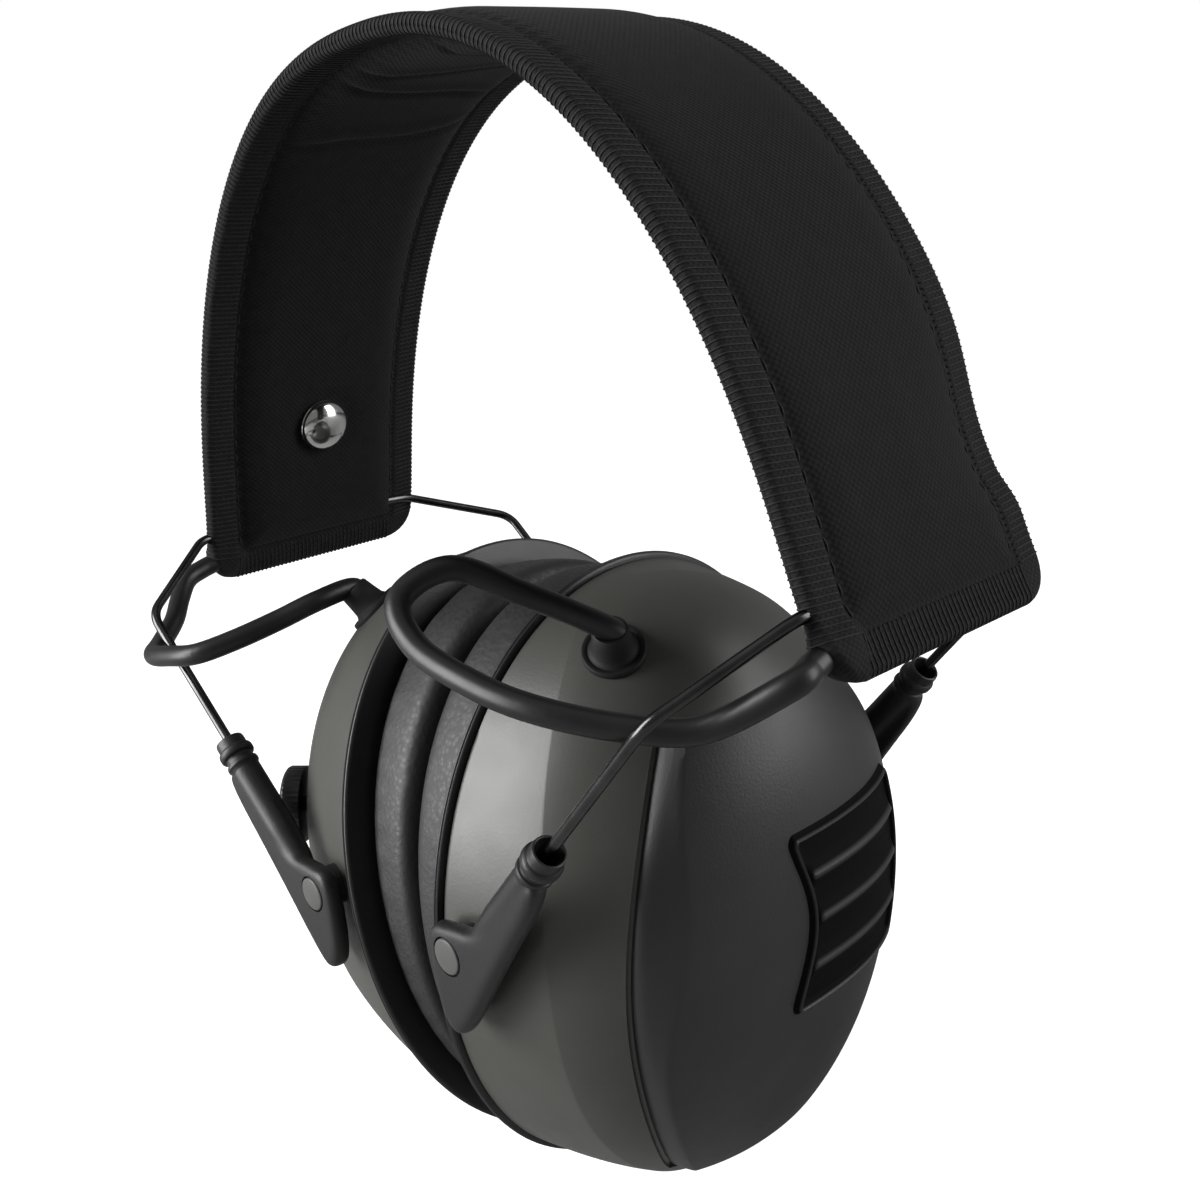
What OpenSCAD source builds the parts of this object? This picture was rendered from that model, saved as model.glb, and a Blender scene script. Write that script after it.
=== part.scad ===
// Folding-arch earmuff hearing protector: a padded fabric headband over a steel spring leaf,
// two steel wire bails, sliding plastic arms and two tilting ear cups linked by a cable.
// X runs across the head, Y towards the face, Z up. The cups' lowest points rest on z = 0.

/* [Headband] */
// Width of the woven sleeve
band_w = 50; // [46:1:54]
// Thickness of the padded sleeve at its middle
band_t = 7.6; // [7.4:0.1:8.4]
// Thickness of the sleeve's stitched edges
edge_t = 3.6; // [3.2:0.1:4]
// Width of each stitched edge
edge_w = 7; // [6:0.5:8]
// Half of the arch's width at its lower ends
arch_w = 76; // [74:0.5:78]
// Height of the arch's crown above its lower ends
arch_h = 91; // [88:0.5:94]
// How far the lower ends flare outwards
foot_flare = 4.6; // [3:0.1:5]
// Thickness of the spring leaf
leaf_t = 0.8; // [0.6:0.1:1]
// Width of the spring leaf
leaf_w = 22; // [18:1:24]
// Diameter of the domed snap rivets
snap_d = 10.7; // [9:0.1:12]

/* [Wire bails and arms] */
// Diameter of the spring wire
wire_d = 1.75; // [1.6:0.05:1.8]
// Half of the distance between a bail's two legs
leg_y = 44.1; // [43.8:0.1:44.4]
// Travel of the arms along the wire legs
arm_travel = 22; // [16:1:22]
// Diameter of the arm's socket tube
tube_d = 5.3; // [5:0.1:5.5]
// Diameter of the bead around the socket's mouth
bead_d = 6.3; // [6:0.1:6.6]
// Thickness of the arm's flat plate
plate_t = 3.2; // [3:0.1:3.4]
// Diameter of the cup's pivot pins
pin_d = 4; // [3.6:0.1:4.2]

/* [Ear cups] */
// Width of the cup shell, front to back
cup_w = 85.4; // [84:0.2:86]
// Height of the cup shell
cup_h = 109.4; // [106:0.2:112]
// Depth of the cup shell
cup_d = 37.2; // [35:0.2:39]
// Thickness of the cup shell's wall
wall = 2.4; // [2:0.1:2.6]
// Splay of the closed cups, which hang closer at the bottom
splay = 6; // [5:0.5:7]
// Width of the opening that takes the ear
ear_w = 46; // [40:1:50]
// Height of the opening that takes the ear
ear_h = 68; // [60:1:72]
// Gap between each closed cushion and the middle plane
cushion_gap = 1.1; // [1.1:0.1:1.5]
// Diameter of the link cable
cable_d = 3.8; // [3.6:0.1:4.2]
// Diameter of the audio socket's bore
jack_d = 3.6; // [3.5:0.05:3.7]

/* [Hidden] */
$fn = 48;

// Height of the headband's lower ends, so that the closed cups stand on z = 0
seat_z = 104.2;
// Place of the headband's middle plane, so that the whole object is centred on y = 0
mid_y = 2.7;

// Exponents of the arch's superellipse, across and up
arch_nx = 2.28;
arch_nz = 1.66;
// Height over which the flare of the lower ends fades out
flare_fade = 7.5;
// Gap between the two halves of the band
crown_gap = 0.6;
// Radius of the relief along the crown, on the axis where the two halves of the band turn
crown_r = 0.8;
cover_t = 0.9;
pad_top = -0.8;
leaf_low = 0.3;
running = 0.05;

// Bail: crossbar height, the bend outside the sleeve, and the mouth of the arm's socket
bar_z = 9.5;
exit_y = band_w / 2 + 1.4;
bend = [66.3, leg_y, -0.2];
mouth = [44.6, leg_y, -21.8];
leg_dir = (mouth - bend) / norm(mouth - bend);
leg_in = 5;
corner_cut = 2;
bend_cut = 3;
socket_depth = leg_in + arm_travel + 1;
tongue_z = 36;
snap_z = 29.6;

// Cup: the rim plane's middle, the pivot in the cup's own frame, and the shell's surface
rim_x = 12.3;
cup_z = -48.8;
pivot = [6.4, 0, 5.2];
ry = cup_w / 2;
rz = cup_h / 2;
dome_p = 2.49;
ring_p = 2.06;
lip_t = 1.5;
lip_out = 1;
cushion_in = 3;
plate_y = leg_y - 0.6;
head_h = 0.9;
cable_r = cable_d / 2;

// ---------- helpers ----------

module placed() {
    translate([0, mid_y, seat_z]) children();
}

// side is 1 for the right half and -1 for the left
module on_side(side) {
    if (side > 0) {
        placed() children();
    } else {
        placed() mirror([1, 0, 0]) children();
    }
}

function unit(v) = v / norm(v);

// A rigid frame whose z axis runs along dir, with its origin at p
module along(p, dir) {
    d = unit(dir);
    turn = atan2(d[1], d[0]);
    tip = acos(d[2]);
    translate(p) rotate([0, tip, turn]) children();
}

module rod(a, b, d) {
    along(a, b - a) cylinder(h = norm(b - a), d = d);
}

function arch(t) = let (z = arch_h * pow(sin(t), 2 / arch_nz))
    [arch_w * pow(cos(t), 2 / arch_nx) + foot_flare * exp(-z / flare_fade), z];
function arch_normal(t) = let (
        a = arch(max(t - 0.5, 0)),
        b = arch(min(t + 0.5, 90)),
        d = unit(b - a)
    ) [d[1], -d[0]];
function arch_at(t, off) = arch(t) + off * arch_normal(t);
// The arch's parameter at height z above its lower end
function arch_t(z) = asin(pow(z / arch_h, arch_nz / 2));

// One half of an arch-shaped strip between two offsets, from parameter t0 to the crown
module strip(off_in, off_out, width, t0 = 0, mid = 0) {
    steps = 30;
    ts = [for (i = [0:steps]) t0 + (90 - t0) * i / steps];
    outline = concat(
        [for (t = ts) arch_at(t, off_out)],
        [for (i = [steps:-1:0]) arch_at(ts[i], off_in)]
    );
    difference() {
        translate([0, mid, 0]) rotate([90, 0, 0]) linear_extrude(width, center = true) polygon(outline);
        translate([crown_gap / 2 - 20, mid - width, 0]) cube([20, 2 * width, 2 * arch_h]);
    }
}

// A round tube along a smooth path, as one closed skin
function smooth(p, n) = let (m = len(p)) concat(
    [for (i = [0:m - 2], j = [0:n - 1]) let (
            a = p[max(i - 1, 0)],
            b = p[i],
            c = p[i + 1],
            d = p[min(i + 2, m - 1)],
            t = j / n
        ) 0.5 * (2 * b + (c - a) * t + (2 * a - 5 * b + 4 * c - d) * t * t
            + (3 * b - a - 3 * c + d) * t * t * t)],
    [p[m - 1]]
);
function tangents(p) = let (m = len(p))
    [for (i = [0:m - 1]) unit(p[min(i + 1, m - 1)] - p[max(i - 1, 0)])];
function carried(ts, i, side) = let (
        s = unit(side - (side * ts[i]) * ts[i])
    ) i == len(ts) - 1 ? [s] : concat([s], carried(ts, i + 1, s));

module tube(path, d, sides = 14) {
    ts = tangents(path);
    ss = carried(ts, 0, abs(ts[0][2]) < 0.9 ? [0, 0, 1] : [1, 0, 0]);
    m = len(path);
    points = [for (i = [0:m - 1], k = [0:sides - 1]) let (a = 360 * k / sides)
        path[i] + d / 2 * (cos(a) * ss[i] + sin(a) * cross(ts[i], ss[i]))];
    faces = concat(
        [[for (k = [0:sides - 1]) k]],
        [for (i = [0:m - 2], k = [0:sides - 1]) let (
                a = i * sides + k,
                b = i * sides + (k + 1) % sides
            ) [a, a + sides, b + sides, b]],
        [[for (k = [sides - 1:-1:0]) (m - 1) * sides + k]]
    );
    polyhedron(points, faces, convexity = 6);
}

// The cup's own frame: X out from the rim plane, Y front, Z up
module in_cup(side) {
    on_side(side) translate([rim_x, 0, cup_z]) rotate([0, splay, 0]) children();
}
function cup_to_band(p) = [
    rim_x + p[0] * cos(splay) + p[2] * sin(splay),
    p[1],
    cup_z - p[0] * sin(splay) + p[2] * cos(splay)
];

// A ring of the cup: an ellipse-like outline in Y and Z
function ring(a, b, n) = [for (i = [0:n - 1]) let (
        q = 360 * i / n,
        e = 2 / ring_p
    ) [a * sign(cos(q)) * pow(abs(cos(q)), e), b * sign(sin(q)) * pow(abs(sin(q)), e)]];

module ring_slab(a, b, x0, x1, n = 56) {
    translate([x0, 0, 0]) rotate([90, 0, 90]) linear_extrude(x1 - x0) polygon(ring(a, b, n));
}

// The dome's rings from the rim (f = 0) to the apex (f = 1), grown by e
function dome_x(f, e) = (cup_d + e) * pow(sin(88 * f), 2 / dome_p);
function dome_k(f) = pow(cos(88 * f), 2 / dome_p);
// The dome's height above the rim plane at (y, z), grown by e
function skin_x(y, z, e = 0) = let (
        rho = pow(pow(abs(y) / (ry + e), ring_p) + pow(abs(z) / (rz + e), ring_p), 1 / ring_p)
    ) (cup_d + e) * pow(max(1 - pow(min(rho, 1), dome_p), 0), 1 / dome_p);
function skin(y, z, e = 0) = [skin_x(y, z, e), y, z];
function skin_normal(y, z) = let (h = 0.5) unit(cross(
        skin(y + h, z) - skin(y - h, z),
        skin(y, z + h) - skin(y, z - h)
    ));

// A closed dome shell with one skin outside and one skin inside, open at the rim
module dome_shell(n = 44, rows = 9) {
    outer = [for (r = [0:rows]) let (f = r / rows, k = dome_k(f)) [dome_x(f, 0), ry * k, rz * k]];
    inner = [for (r = [rows:-1:0]) let (f = r / rows, k = dome_k(f))
        [dome_x(f, -wall), (ry - wall) * k, (rz - wall) * k]];
    rings = concat(outer, inner);
    points = [for (s = rings, p = ring(s[1], s[2], n)) [s[0], p[0], p[1]]];
    last = len(rings);
    faces = concat(
        [for (r = [0:last - 1], i = [0:n - 1]) if (r != rows) let (
                j = (i + 1) % n,
                q = (r + 1) % last
            ) [r * n + i, q * n + i, q * n + j, r * n + j]],
        [[for (i = [n - 1:-1:0]) rows * n + i]],
        [[for (i = [0:n - 1]) (rows + 1) * n + i]]
    );
    polyhedron(points, faces, convexity = 8);
}

// A plate that follows the dome between two growths; edge(u, v) gives its place in Y and Z
module skin_patch(edge, grow_low, grow_high, nu = 12, nv = 12) {
    low = [for (i = [0:nu], j = [0:nv]) let (p = edge(i / nu, j / nv))
        skin(p[0], p[1], grow_low)];
    high = [for (i = [0:nu], j = [0:nv]) let (p = edge(i / nu, j / nv))
        skin(p[0], p[1], grow_high(i / nu, j / nv))];
    w = nv + 1;
    top = len(low);
    faces = concat(
        [for (i = [0:nu - 1], j = [0:nv - 1]) let (a = i * w + j) [a, a + 1, a + w + 1, a + w]],
        [for (i = [0:nu - 1], j = [0:nv - 1]) let (a = top + i * w + j) [a, a + w, a + w + 1, a + 1]],
        [for (i = [0:nu - 1]) let (a = i * w) [a, a + w, top + a + w, top + a]],
        [for (i = [0:nu - 1]) let (a = i * w + nv) [a, top + a, top + a + w, a + w]],
        [for (j = [0:nv - 1]) [j, top + j, top + j + 1, j + 1]],
        [for (j = [0:nv - 1]) let (a = nu * w + j) [a, a + 1, top + a + 1, top + a]]
    );
    polyhedron(concat(low, high), faces, convexity = 8);
}

// ---------- headband ----------

bar_x = arch(arch_t(bar_z))[0];
snap_n = arch_normal(arch_t(snap_z));
snap_c = arch(arch_t(snap_z));

module snap_axis() {
    along([snap_c[0], 0, snap_c[1]], [-snap_n[0], 0, -snap_n[1]]) children();
}

// The cable's places outside the sleeve, in the headband's frame
hem_in = [bar_x + 0.6, -17, 6.3];
hem_out = [bar_x + 2.2, -27.5, 3.4];

module headband_cover(side) {
    inside = band_t / 2 - cover_t;
    color([0.09, 0.09, 0.095]) on_side(side) difference() {
        union() {
            strip(-band_t / 2, band_t / 2, band_w - 2 * edge_w);
            strip(-edge_t / 2, edge_t / 2, band_w);
        }
        strip(-inside, inside, band_w - 2 * edge_w - 0.8, arch_t(4));
        translate([bar_x, band_w, bar_z]) rotate([90, 0, 0]) cylinder(h = 2 * band_w, d = wire_d + 0.5);
        rod(hem_in, hem_out + (hem_out - hem_in) * 0.3, cable_d + 0.4);
        snap_axis() cylinder(h = band_t, d = 3.2);
        translate([0, band_w, arch_h + band_t / 2]) rotate([90, 0, 0])
            cylinder(h = 2 * band_w, r = crown_r);
    }
}

module headband_pad(side) {
    color([0.16, 0.16, 0.17]) on_side(side)
        strip(-band_t / 2 + cover_t + 0.1, pad_top, band_w - 2 * edge_w - 2, arch_t(tongue_z + 3));
}

module spring_leaf(side) {
    color([0.6, 0.62, 0.65]) on_side(side) difference() {
        strip(leaf_low, leaf_low + leaf_t, leaf_w, arch_t(18));
        snap_axis() translate([0, 0, -band_t]) cylinder(h = 2 * band_t, d = 3.2);
    }
}

module bail_clip(side) {
    tip = arch_at(arch_t(tongue_z), -0.3);
    foot = [bar_x - 0.3, bar_z];
    reach = norm(tip - foot);
    lean = atan2(foot[0] - tip[0], tip[1] - foot[1]);
    color([0.5, 0.51, 0.53]) on_side(side) difference() {
        union() {
            translate([bar_x, leaf_w / 2, bar_z]) rotate([90, 0, 0]) cylinder(h = leaf_w, d = 4.4);
            translate([foot[0], 0, foot[1]]) rotate([0, -lean, 0])
                translate([-0.9, -leaf_w / 2 + 1, 0]) cube([0.8, leaf_w - 2, reach]);
        }
        translate([bar_x, band_w, bar_z]) rotate([90, 0, 0])
            cylinder(h = 2 * band_w, d = wire_d + 2 * running);
        snap_axis() translate([0, 0, -band_t]) cylinder(h = 2 * band_t, d = 3.2);
    }
}

module snap_rivet(side) {
    face = band_t / 2;
    dome_h = 3;
    color([0.85, 0.85, 0.87]) on_side(side) snap_axis() {
        rotate_extrude() polygon(concat(
            [[0, -leaf_low - leaf_t - 0.9], [2.6, -leaf_low - leaf_t - 0.9],
                [2.6, -leaf_low - leaf_t - 0.1], [1.5, -leaf_low - leaf_t - 0.1],
                [1.5, face + 0.1], [snap_d / 2, face + 0.1], [snap_d / 2, face + 0.6]],
            [for (a = [15:15:75]) [snap_d / 2 * cos(a), face + 0.6 + (dome_h - 0.6) * sin(a)]],
            [[0, face + dome_h]]
        ));
    }
}

// A thin cable inside the sleeve, beside the leaf
module headband_cable(side) {
    steps = 24;
    t0 = arch_t(16);
    color([0.05, 0.05, 0.05]) on_side(side) tube([for (i = [0:steps]) let (
            t = t0 + (89.5 - t0) * i / steps,
            p = arch_at(t, 0.9)
        ) [max(p[0], crown_gap / 2), -leaf_w / 2 - 3, p[1]]], 2.4, 10);
}

// ---------- wire bails ----------

// A corner at c between a and b, rounded over the length cut on both sides
function rounded(a, c, b, cut, n = 6) = let (
        p = c - unit(c - a) * cut,
        q = c + unit(b - c) * cut
    ) [for (i = [0:n]) let (t = i / n) (1 - t) * (1 - t) * p + 2 * t * (1 - t) * c + t * t * q];

// One bent spring wire: exact rods where it turns and slides, and a finer tube round its bends
module wire_bail(side) {
    corner = [bar_x, exit_y, bar_z];
    inner = corner - [0, 5, 0];
    leg_end = mouth + leg_dir * leg_in;
    bends = concat([inner], rounded(inner, corner, bend, corner_cut),
        rounded(corner, bend, leg_end, bend_cut), [bend + leg_dir * 8]);
    color([0.2, 0.2, 0.21]) on_side(side) {
        rod([bar_x, -exit_y + 2.5, bar_z], [bar_x, exit_y - 2.5, bar_z], wire_d);
        for (face = [0, 1]) mirror([0, face, 0]) {
            tube(bends, wire_d - 0.04, 12);
            rod(bend + leg_dir * 5, leg_end, wire_d);
        }
    }
}

// ---------- arms ----------

function pivot_place() = cup_to_band(pivot);

module arm_outline() {
    offset(r = 1.6, $fn = 32) offset(delta = -1.6) polygon([
        [14.4, -39.6], [13.9, -47], [14.6, -56.2], [18.3, -59.2], [22.6, -55.6],
        [32, -43.3], [45.2, -27.6], [39.6, -25.4], [31.6, -34.8], [26.2, -38.2]
    ]);
}

module arm(side, face) {
    pin = pivot_place();
    socket_r = wire_d / 2 + running;
    color([0.27, 0.27, 0.28]) on_side(side) mirror([0, face > 0 ? 0 : 1, 0]) difference() {
        union() {
            translate([0, plate_y + plate_t, 0]) rotate([90, 0, 0])
                linear_extrude(plate_t) arm_outline();
            along(mouth, leg_dir) rotate_extrude() polygon([
                [0, 0], [tube_d / 2 - 0.3, 0], [tube_d / 2, 0.4], [tube_d / 2, 2], [bead_d / 2, 2.3],
                [bead_d / 2, 3.6], [tube_d / 2 - 0.2, 3.9], [tube_d / 2 - 0.2, 4.8], [tube_d / 2 + 0.3, 5],
                [tube_d / 2 + 0.3, 5.9], [tube_d / 2, 6.2], [tube_d / 2, 28], [tube_d / 2 - 1, 29.5],
                [0, 29.5]
            ]);
            translate([pin[0], plate_y + plate_t, pin[2]]) rotate([90, 0, 0])
                cylinder(h = plate_t, d = bead_d + 3.4);
        }
        along(mouth - leg_dir, leg_dir) cylinder(h = socket_depth + 1, r = socket_r);
        translate([pin[0], plate_y + plate_t + 5, pin[2]]) rotate([90, 0, 0])
            cylinder(h = 15, d = pin_d + 2 * running);
        translate([pin[0], plate_y + plate_t + 5, pin[2]]) rotate([90, 0, 0])
            cylinder(h = 5 + head_h, d = 6.2);
    }
}

// Grey pivot pins: a flush head outside the plate and a shank into the cup's bushes
module pivot_pins(side) {
    pin = pivot_place();
    color([0.5, 0.5, 0.5]) on_side(side) for (face = [-1, 1]) mirror([0, face > 0 ? 0 : 1, 0])
        translate([pin[0], plate_y + plate_t + 0.2, pin[2]]) rotate([90, 0, 0]) {
            cylinder(h = head_h, d = 6);
            cylinder(h = plate_t + 5.4, d = pin_d);
        }
}

module pivot_bushes(side) {
    pin = pivot_place();
    bush_top = plate_y - 0.15;
    color([0.3, 0.3, 0.3]) on_side(side) for (face = [-1, 1]) mirror([0, face > 0 ? 0 : 1, 0])
        translate([pin[0], bush_top, pin[2]]) rotate([90, 0, 0]) difference() {
            union() {
                cylinder(h = 5.6, d = 7);
                translate([0, 0, 5]) cylinder(h = 0.6, d = 9);
            }
            translate([0, 0, -1]) cylinder(h = 8, d = pin_d + 0.04);
        }
}

// ---------- ear cups ----------

// Places on the shell, in Y and Z of the cup's frame
hole_at = [-17, 48];
knob_at = [-32.8, 14.5];
mic_at = [-24, 30];
knob_n = skin_normal(knob_at[0], knob_at[1]);
knob_c = skin(knob_at[0], knob_at[1]);
hole_n = skin_normal(hole_at[0], hole_at[1]);
hole_c = skin(hole_at[0], hole_at[1]);
knob_d = 14;
knob_h = 4;
jack_x = 13;

module jack_axis() {
    low = skin_bottom(jack_x);
    translate([jack_x, 0, low]) rotate([0, -splay, 0]) children();
}
function skin_bottom(x) = -rz * pow(1 - pow(x / cup_d, dome_p), 1 / dome_p);

module cup_shell(side) {
    color([0.3, 0.3, 0.27]) in_cup(side) difference() {
        dome_shell();
        translate([pivot[0], ry + 5, pivot[2]]) rotate([90, 0, 0]) cylinder(h = 2 * ry + 10, d = 7.1);
        along(hole_c - hole_n * 6, hole_n) cylinder(h = 12, d = cable_d + 4.1);
        if (side < 0) {
            along(knob_c - knob_n * 6, knob_n) cylinder(h = 12, d = 4);
            jack_axis() translate([0, 0, -5]) cylinder(h = 14, d = 8.1);
        }
    }
}

module cup_rim(side) {
    color([0.13, 0.13, 0.13]) in_cup(side) difference() {
        ring_slab(ry + lip_out, rz + lip_out, -lip_t, -0.05);
        ring_slab(ear_w / 2, ear_h / 2, -lip_t - 1, 1);
    }
}

// Outline of the outer cover: u runs from the curved front groove to the rear, v upwards
cover_edge = function (u, v) let (
        z = -41 + 77 * v,
        bow = sin(180 * v),
        front = -17 - 13.5 * pow(bow, 0.8),
        rear = 33.5 * pow(1 - pow(abs(z + 2) / 46, 2.2), 0.5)
    ) [front + (rear - front) * u, z];

module outer_cover(side) {
    color([0.17, 0.17, 0.17]) in_cup(side)
        skin_patch(function (u, v) cover_edge(u, 0.02 + 0.96 * v), 0.3,
            function (u, v) 1.5, 12, 14);
}

// Outline of the ribbed grip: a waisted front edge, and a wide rear edge
grip_edge = function (u, v) let (
        z = -11 + 30 * v,
        front = -5.5 + 4.5 * sin(180 * v),
        rear = 27 + 3 * sin(180 * v),
        lift = 2 * (1 - u) * (v - 0.5)
    ) [front + (rear - front) * u, z + lift];

module grip_insert(side) {
    ribs = 5;
    color([0.07, 0.07, 0.07]) in_cup(side)
        skin_patch(grip_edge, 1.6,
            function (u, v) 2.3 + 0.9 * abs(sin(180 * ribs * v)), 8, 40);
}

module ear_cushion(side) {
    a = ry - cushion_in;
    b = rz - cushion_in;
    color([0.2, 0.2, 0.2]) intersection() {
        in_cup(side) difference() {
            ring_slab(a, b, -30, -lip_t - 0.05, 48);
            ring_slab(ear_w / 2, ear_h / 2, -31, 0, 40);
        }
        on_side(side) translate([cushion_gap, -60, -120]) cube([60, 120, 140]);
    }
}

module foam_liner(side) {
    color([0.25, 0.25, 0.26]) in_cup(side) difference() {
        ring_slab(ry - 11, rz - 19, 9, 14, 40);
        translate([8, 0, 0]) rotate([0, 90, 0]) cylinder(h = 8, d = 12);
    }
}

module speaker(side) {
    color([0.1, 0.1, 0.1]) in_cup(side) translate([14.2, 0, 0]) rotate([0, 90, 0]) {
        cylinder(h = 3, d = 28);
        translate([0, 0, 2]) cylinder(h = 5.5, d = 16);
    }
}

module microphone(side) {
    n = skin_normal(mic_at[0], mic_at[1]);
    c = skin(mic_at[0], mic_at[1], -wall);
    color([0.4, 0.4, 0.4]) in_cup(side) along(c - n * 4.5, n) cylinder(h = 3.8, d = 6);
}

module circuit_board(side) {
    color([0.1, 0.35, 0.2]) in_cup(side) {
        translate([23, -13, -20]) cube([1.6, 26, 40]);
        translate([24.6, -8, -10]) cube([1.4, 8, 8]);
        translate([24.6, 3, 4]) cube([2, 6, 6]);
    }
}

module battery_cells() {
    color([0.7, 0.55, 0.2]) in_cup(1) for (y = [-20.5, 20.5]) translate([20, y, -22]) {
        cylinder(h = 43, d = 10.4);
        translate([0, 0, 42]) cylinder(h = 2, d = 3.8);
    }
}

module battery_contacts() {
    color([0.75, 0.75, 0.75]) in_cup(1) for (y = [-20.5, 20.5], z = [-22.7, 22.2])
        translate([16.5, y - 3.5, z]) cube([7, 7, 0.5]);
}

module cable_grommet(side) {
    color([0.06, 0.06, 0.06]) in_cup(side) along(hole_c, hole_n) difference() {
        union() {
            translate([0, 0, -4]) cylinder(h = 6.6, d = cable_d + 3.9);
            translate([0, 0, 1]) cylinder(h = 1.6, d = cable_d + 6.4);
        }
        translate([0, 0, -5]) cylinder(h = 12, d = cable_d + 0.3);
    }
}

// The free cable: from the cup's grommet, round the bail's leg, into the sleeve's hem
function cable_path(side) = let (
        root = [for (h = [-3, 2.8, 5.5]) cup_to_band(hole_c + hole_n * h)],
        hem = [hem_out + (hem_out - hem_in) * 0.35, hem_out, hem_in]
    ) side > 0
    ? smooth(concat(root, [[30, -31, 9.6], [26, -40, 15.2], [24, -48, 12.5], [30, -50.5, 7.2],
        [42, -50.5, 3.4], [51.1, -48.3, 0.4], [58.7, -42.8, -3.1], [68, -36, -3.2]], hem), 4)
    : smooth(concat(root, [[35, -27, 1], [38, -33.5, -1.1], [40.5, -41, -2.9], [44.5, -47, -4.4],
        [52, -48.6, -5.3], [60, -48, -6.3], [66.5, -43.5, -6.2], [69.5, -38, -3.4],
        [74.5, -34, -0.2]], hem), 4);

module link_cable(side) {
    color([0.05, 0.05, 0.05]) on_side(side) tube(cable_path(side), cable_d);
}

module volume_knob() {
    color([0.08, 0.08, 0.08]) in_cup(-1) along(knob_c + knob_n * 0.5, knob_n) difference() {
        union() {
            cylinder(h = knob_h - 0.8, d = knob_d);
            translate([0, 0, knob_h - 0.8]) cylinder(h = 0.8, d1 = knob_d, d2 = knob_d - 1.6);
        }
        translate([0, 0, -1]) cylinder(h = 3.6, d = 3 + 2 * running);
    }
}

module volume_control() {
    color([0.35, 0.35, 0.35]) in_cup(-1) along(knob_c - knob_n * 9.5, knob_n) {
        cylinder(h = 5, d = 10);
        cylinder(h = 12, d = 3);
    }
}

module audio_jack() {
    color([0.12, 0.12, 0.12]) in_cup(-1) jack_axis() difference() {
        translate([0, 0, -0.6]) cylinder(h = 17, d = 8);
        translate([0, 0, -2]) cylinder(h = 15.4, d = jack_d);
    }
}

headband_cover(-1);  // headband_cover_left
headband_cover(1);  // headband_cover_right
headband_pad(-1);  // headband_pad_left
headband_pad(1);  // headband_pad_right
spring_leaf(-1);  // spring_leaf_left
spring_leaf(1);  // spring_leaf_right
bail_clip(-1);  // bail_clip_left
bail_clip(1);  // bail_clip_right
snap_rivet(-1);  // snap_rivet_left
snap_rivet(1);  // snap_rivet_right
headband_cable(-1);  // headband_cable_left
headband_cable(1);  // headband_cable_right
wire_bail(-1);  // wire_bail_left
wire_bail(1);  // wire_bail_right
arm(-1, -1);  // arm_front_left
arm(-1, 1);  // arm_rear_left
arm(1, -1);  // arm_front_right
arm(1, 1);  // arm_rear_right
pivot_pins(-1);  // pivot_pins_left
pivot_pins(1);  // pivot_pins_right
pivot_bushes(-1);  // pivot_bushes_left
pivot_bushes(1);  // pivot_bushes_right
cup_shell(-1);  // cup_shell_left
cup_shell(1);  // cup_shell_right
cup_rim(-1);  // cup_rim_left
cup_rim(1);  // cup_rim_right
outer_cover(-1);  // outer_cover_left
outer_cover(1);  // outer_cover_right
grip_insert(-1);  // grip_insert_left
grip_insert(1);  // grip_insert_right
ear_cushion(-1);  // ear_cushion_left
ear_cushion(1);  // ear_cushion_right
foam_liner(-1);  // foam_liner_left
foam_liner(1);  // foam_liner_right
speaker(-1);  // speaker_left
speaker(1);  // speaker_right
microphone(-1);  // microphone_left
microphone(1);  // microphone_right
circuit_board(-1);  // circuit_board_left
circuit_board(1);  // circuit_board_right
battery_cells();
battery_contacts();
cable_grommet(-1);  // cable_grommet_left
cable_grommet(1);  // cable_grommet_right
link_cable(-1);  // link_cable_left
link_cable(1);  // link_cable_right
volume_knob();
volume_control();
audio_jack();
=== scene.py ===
# The look of the earmuff hearing protector: every visible piece is modelled finely around the
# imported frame. Lengths below are millimetres in the headband's own frame (x = 0 between the cups,
# y = 0 in the band's middle, z = 0 at the band's lower ends) and become metres in to_row().
import math

import bmesh
import bpy
import numpy as np
from mathutils import Matrix, Vector


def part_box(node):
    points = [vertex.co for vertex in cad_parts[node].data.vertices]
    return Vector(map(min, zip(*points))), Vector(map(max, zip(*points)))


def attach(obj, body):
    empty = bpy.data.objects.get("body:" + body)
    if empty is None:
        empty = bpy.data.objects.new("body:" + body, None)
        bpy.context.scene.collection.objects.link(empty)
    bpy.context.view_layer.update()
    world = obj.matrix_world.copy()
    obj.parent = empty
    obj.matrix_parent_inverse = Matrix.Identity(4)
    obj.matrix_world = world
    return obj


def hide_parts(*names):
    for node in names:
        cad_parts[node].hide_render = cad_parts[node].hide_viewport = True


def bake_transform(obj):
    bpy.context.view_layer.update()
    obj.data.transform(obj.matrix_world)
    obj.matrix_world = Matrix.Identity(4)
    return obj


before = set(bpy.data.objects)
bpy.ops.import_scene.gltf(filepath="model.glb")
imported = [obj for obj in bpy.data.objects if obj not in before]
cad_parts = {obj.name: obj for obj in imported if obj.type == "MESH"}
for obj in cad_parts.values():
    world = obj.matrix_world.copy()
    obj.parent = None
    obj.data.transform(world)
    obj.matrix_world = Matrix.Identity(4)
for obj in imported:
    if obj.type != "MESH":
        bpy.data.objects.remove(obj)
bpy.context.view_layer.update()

MM = 0.001
SIDES = {"right": 1, "left": -1}

# ---------- driving sizes, taken from the frame where it holds them ----------


def box_mm(node):
    lo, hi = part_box(node)
    return np.array(lo) / MM, np.array(hi) / MM


LEAF_LO, LEAF_HI = box_mm("spring_leaf_right")
CLIP_LO, CLIP_HI = box_mm("bail_clip_right")
COVER_LO, COVER_HI = box_mm("headband_cover_right")
SHELL_LO, SHELL_HI = box_mm("cup_shell_right")

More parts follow.
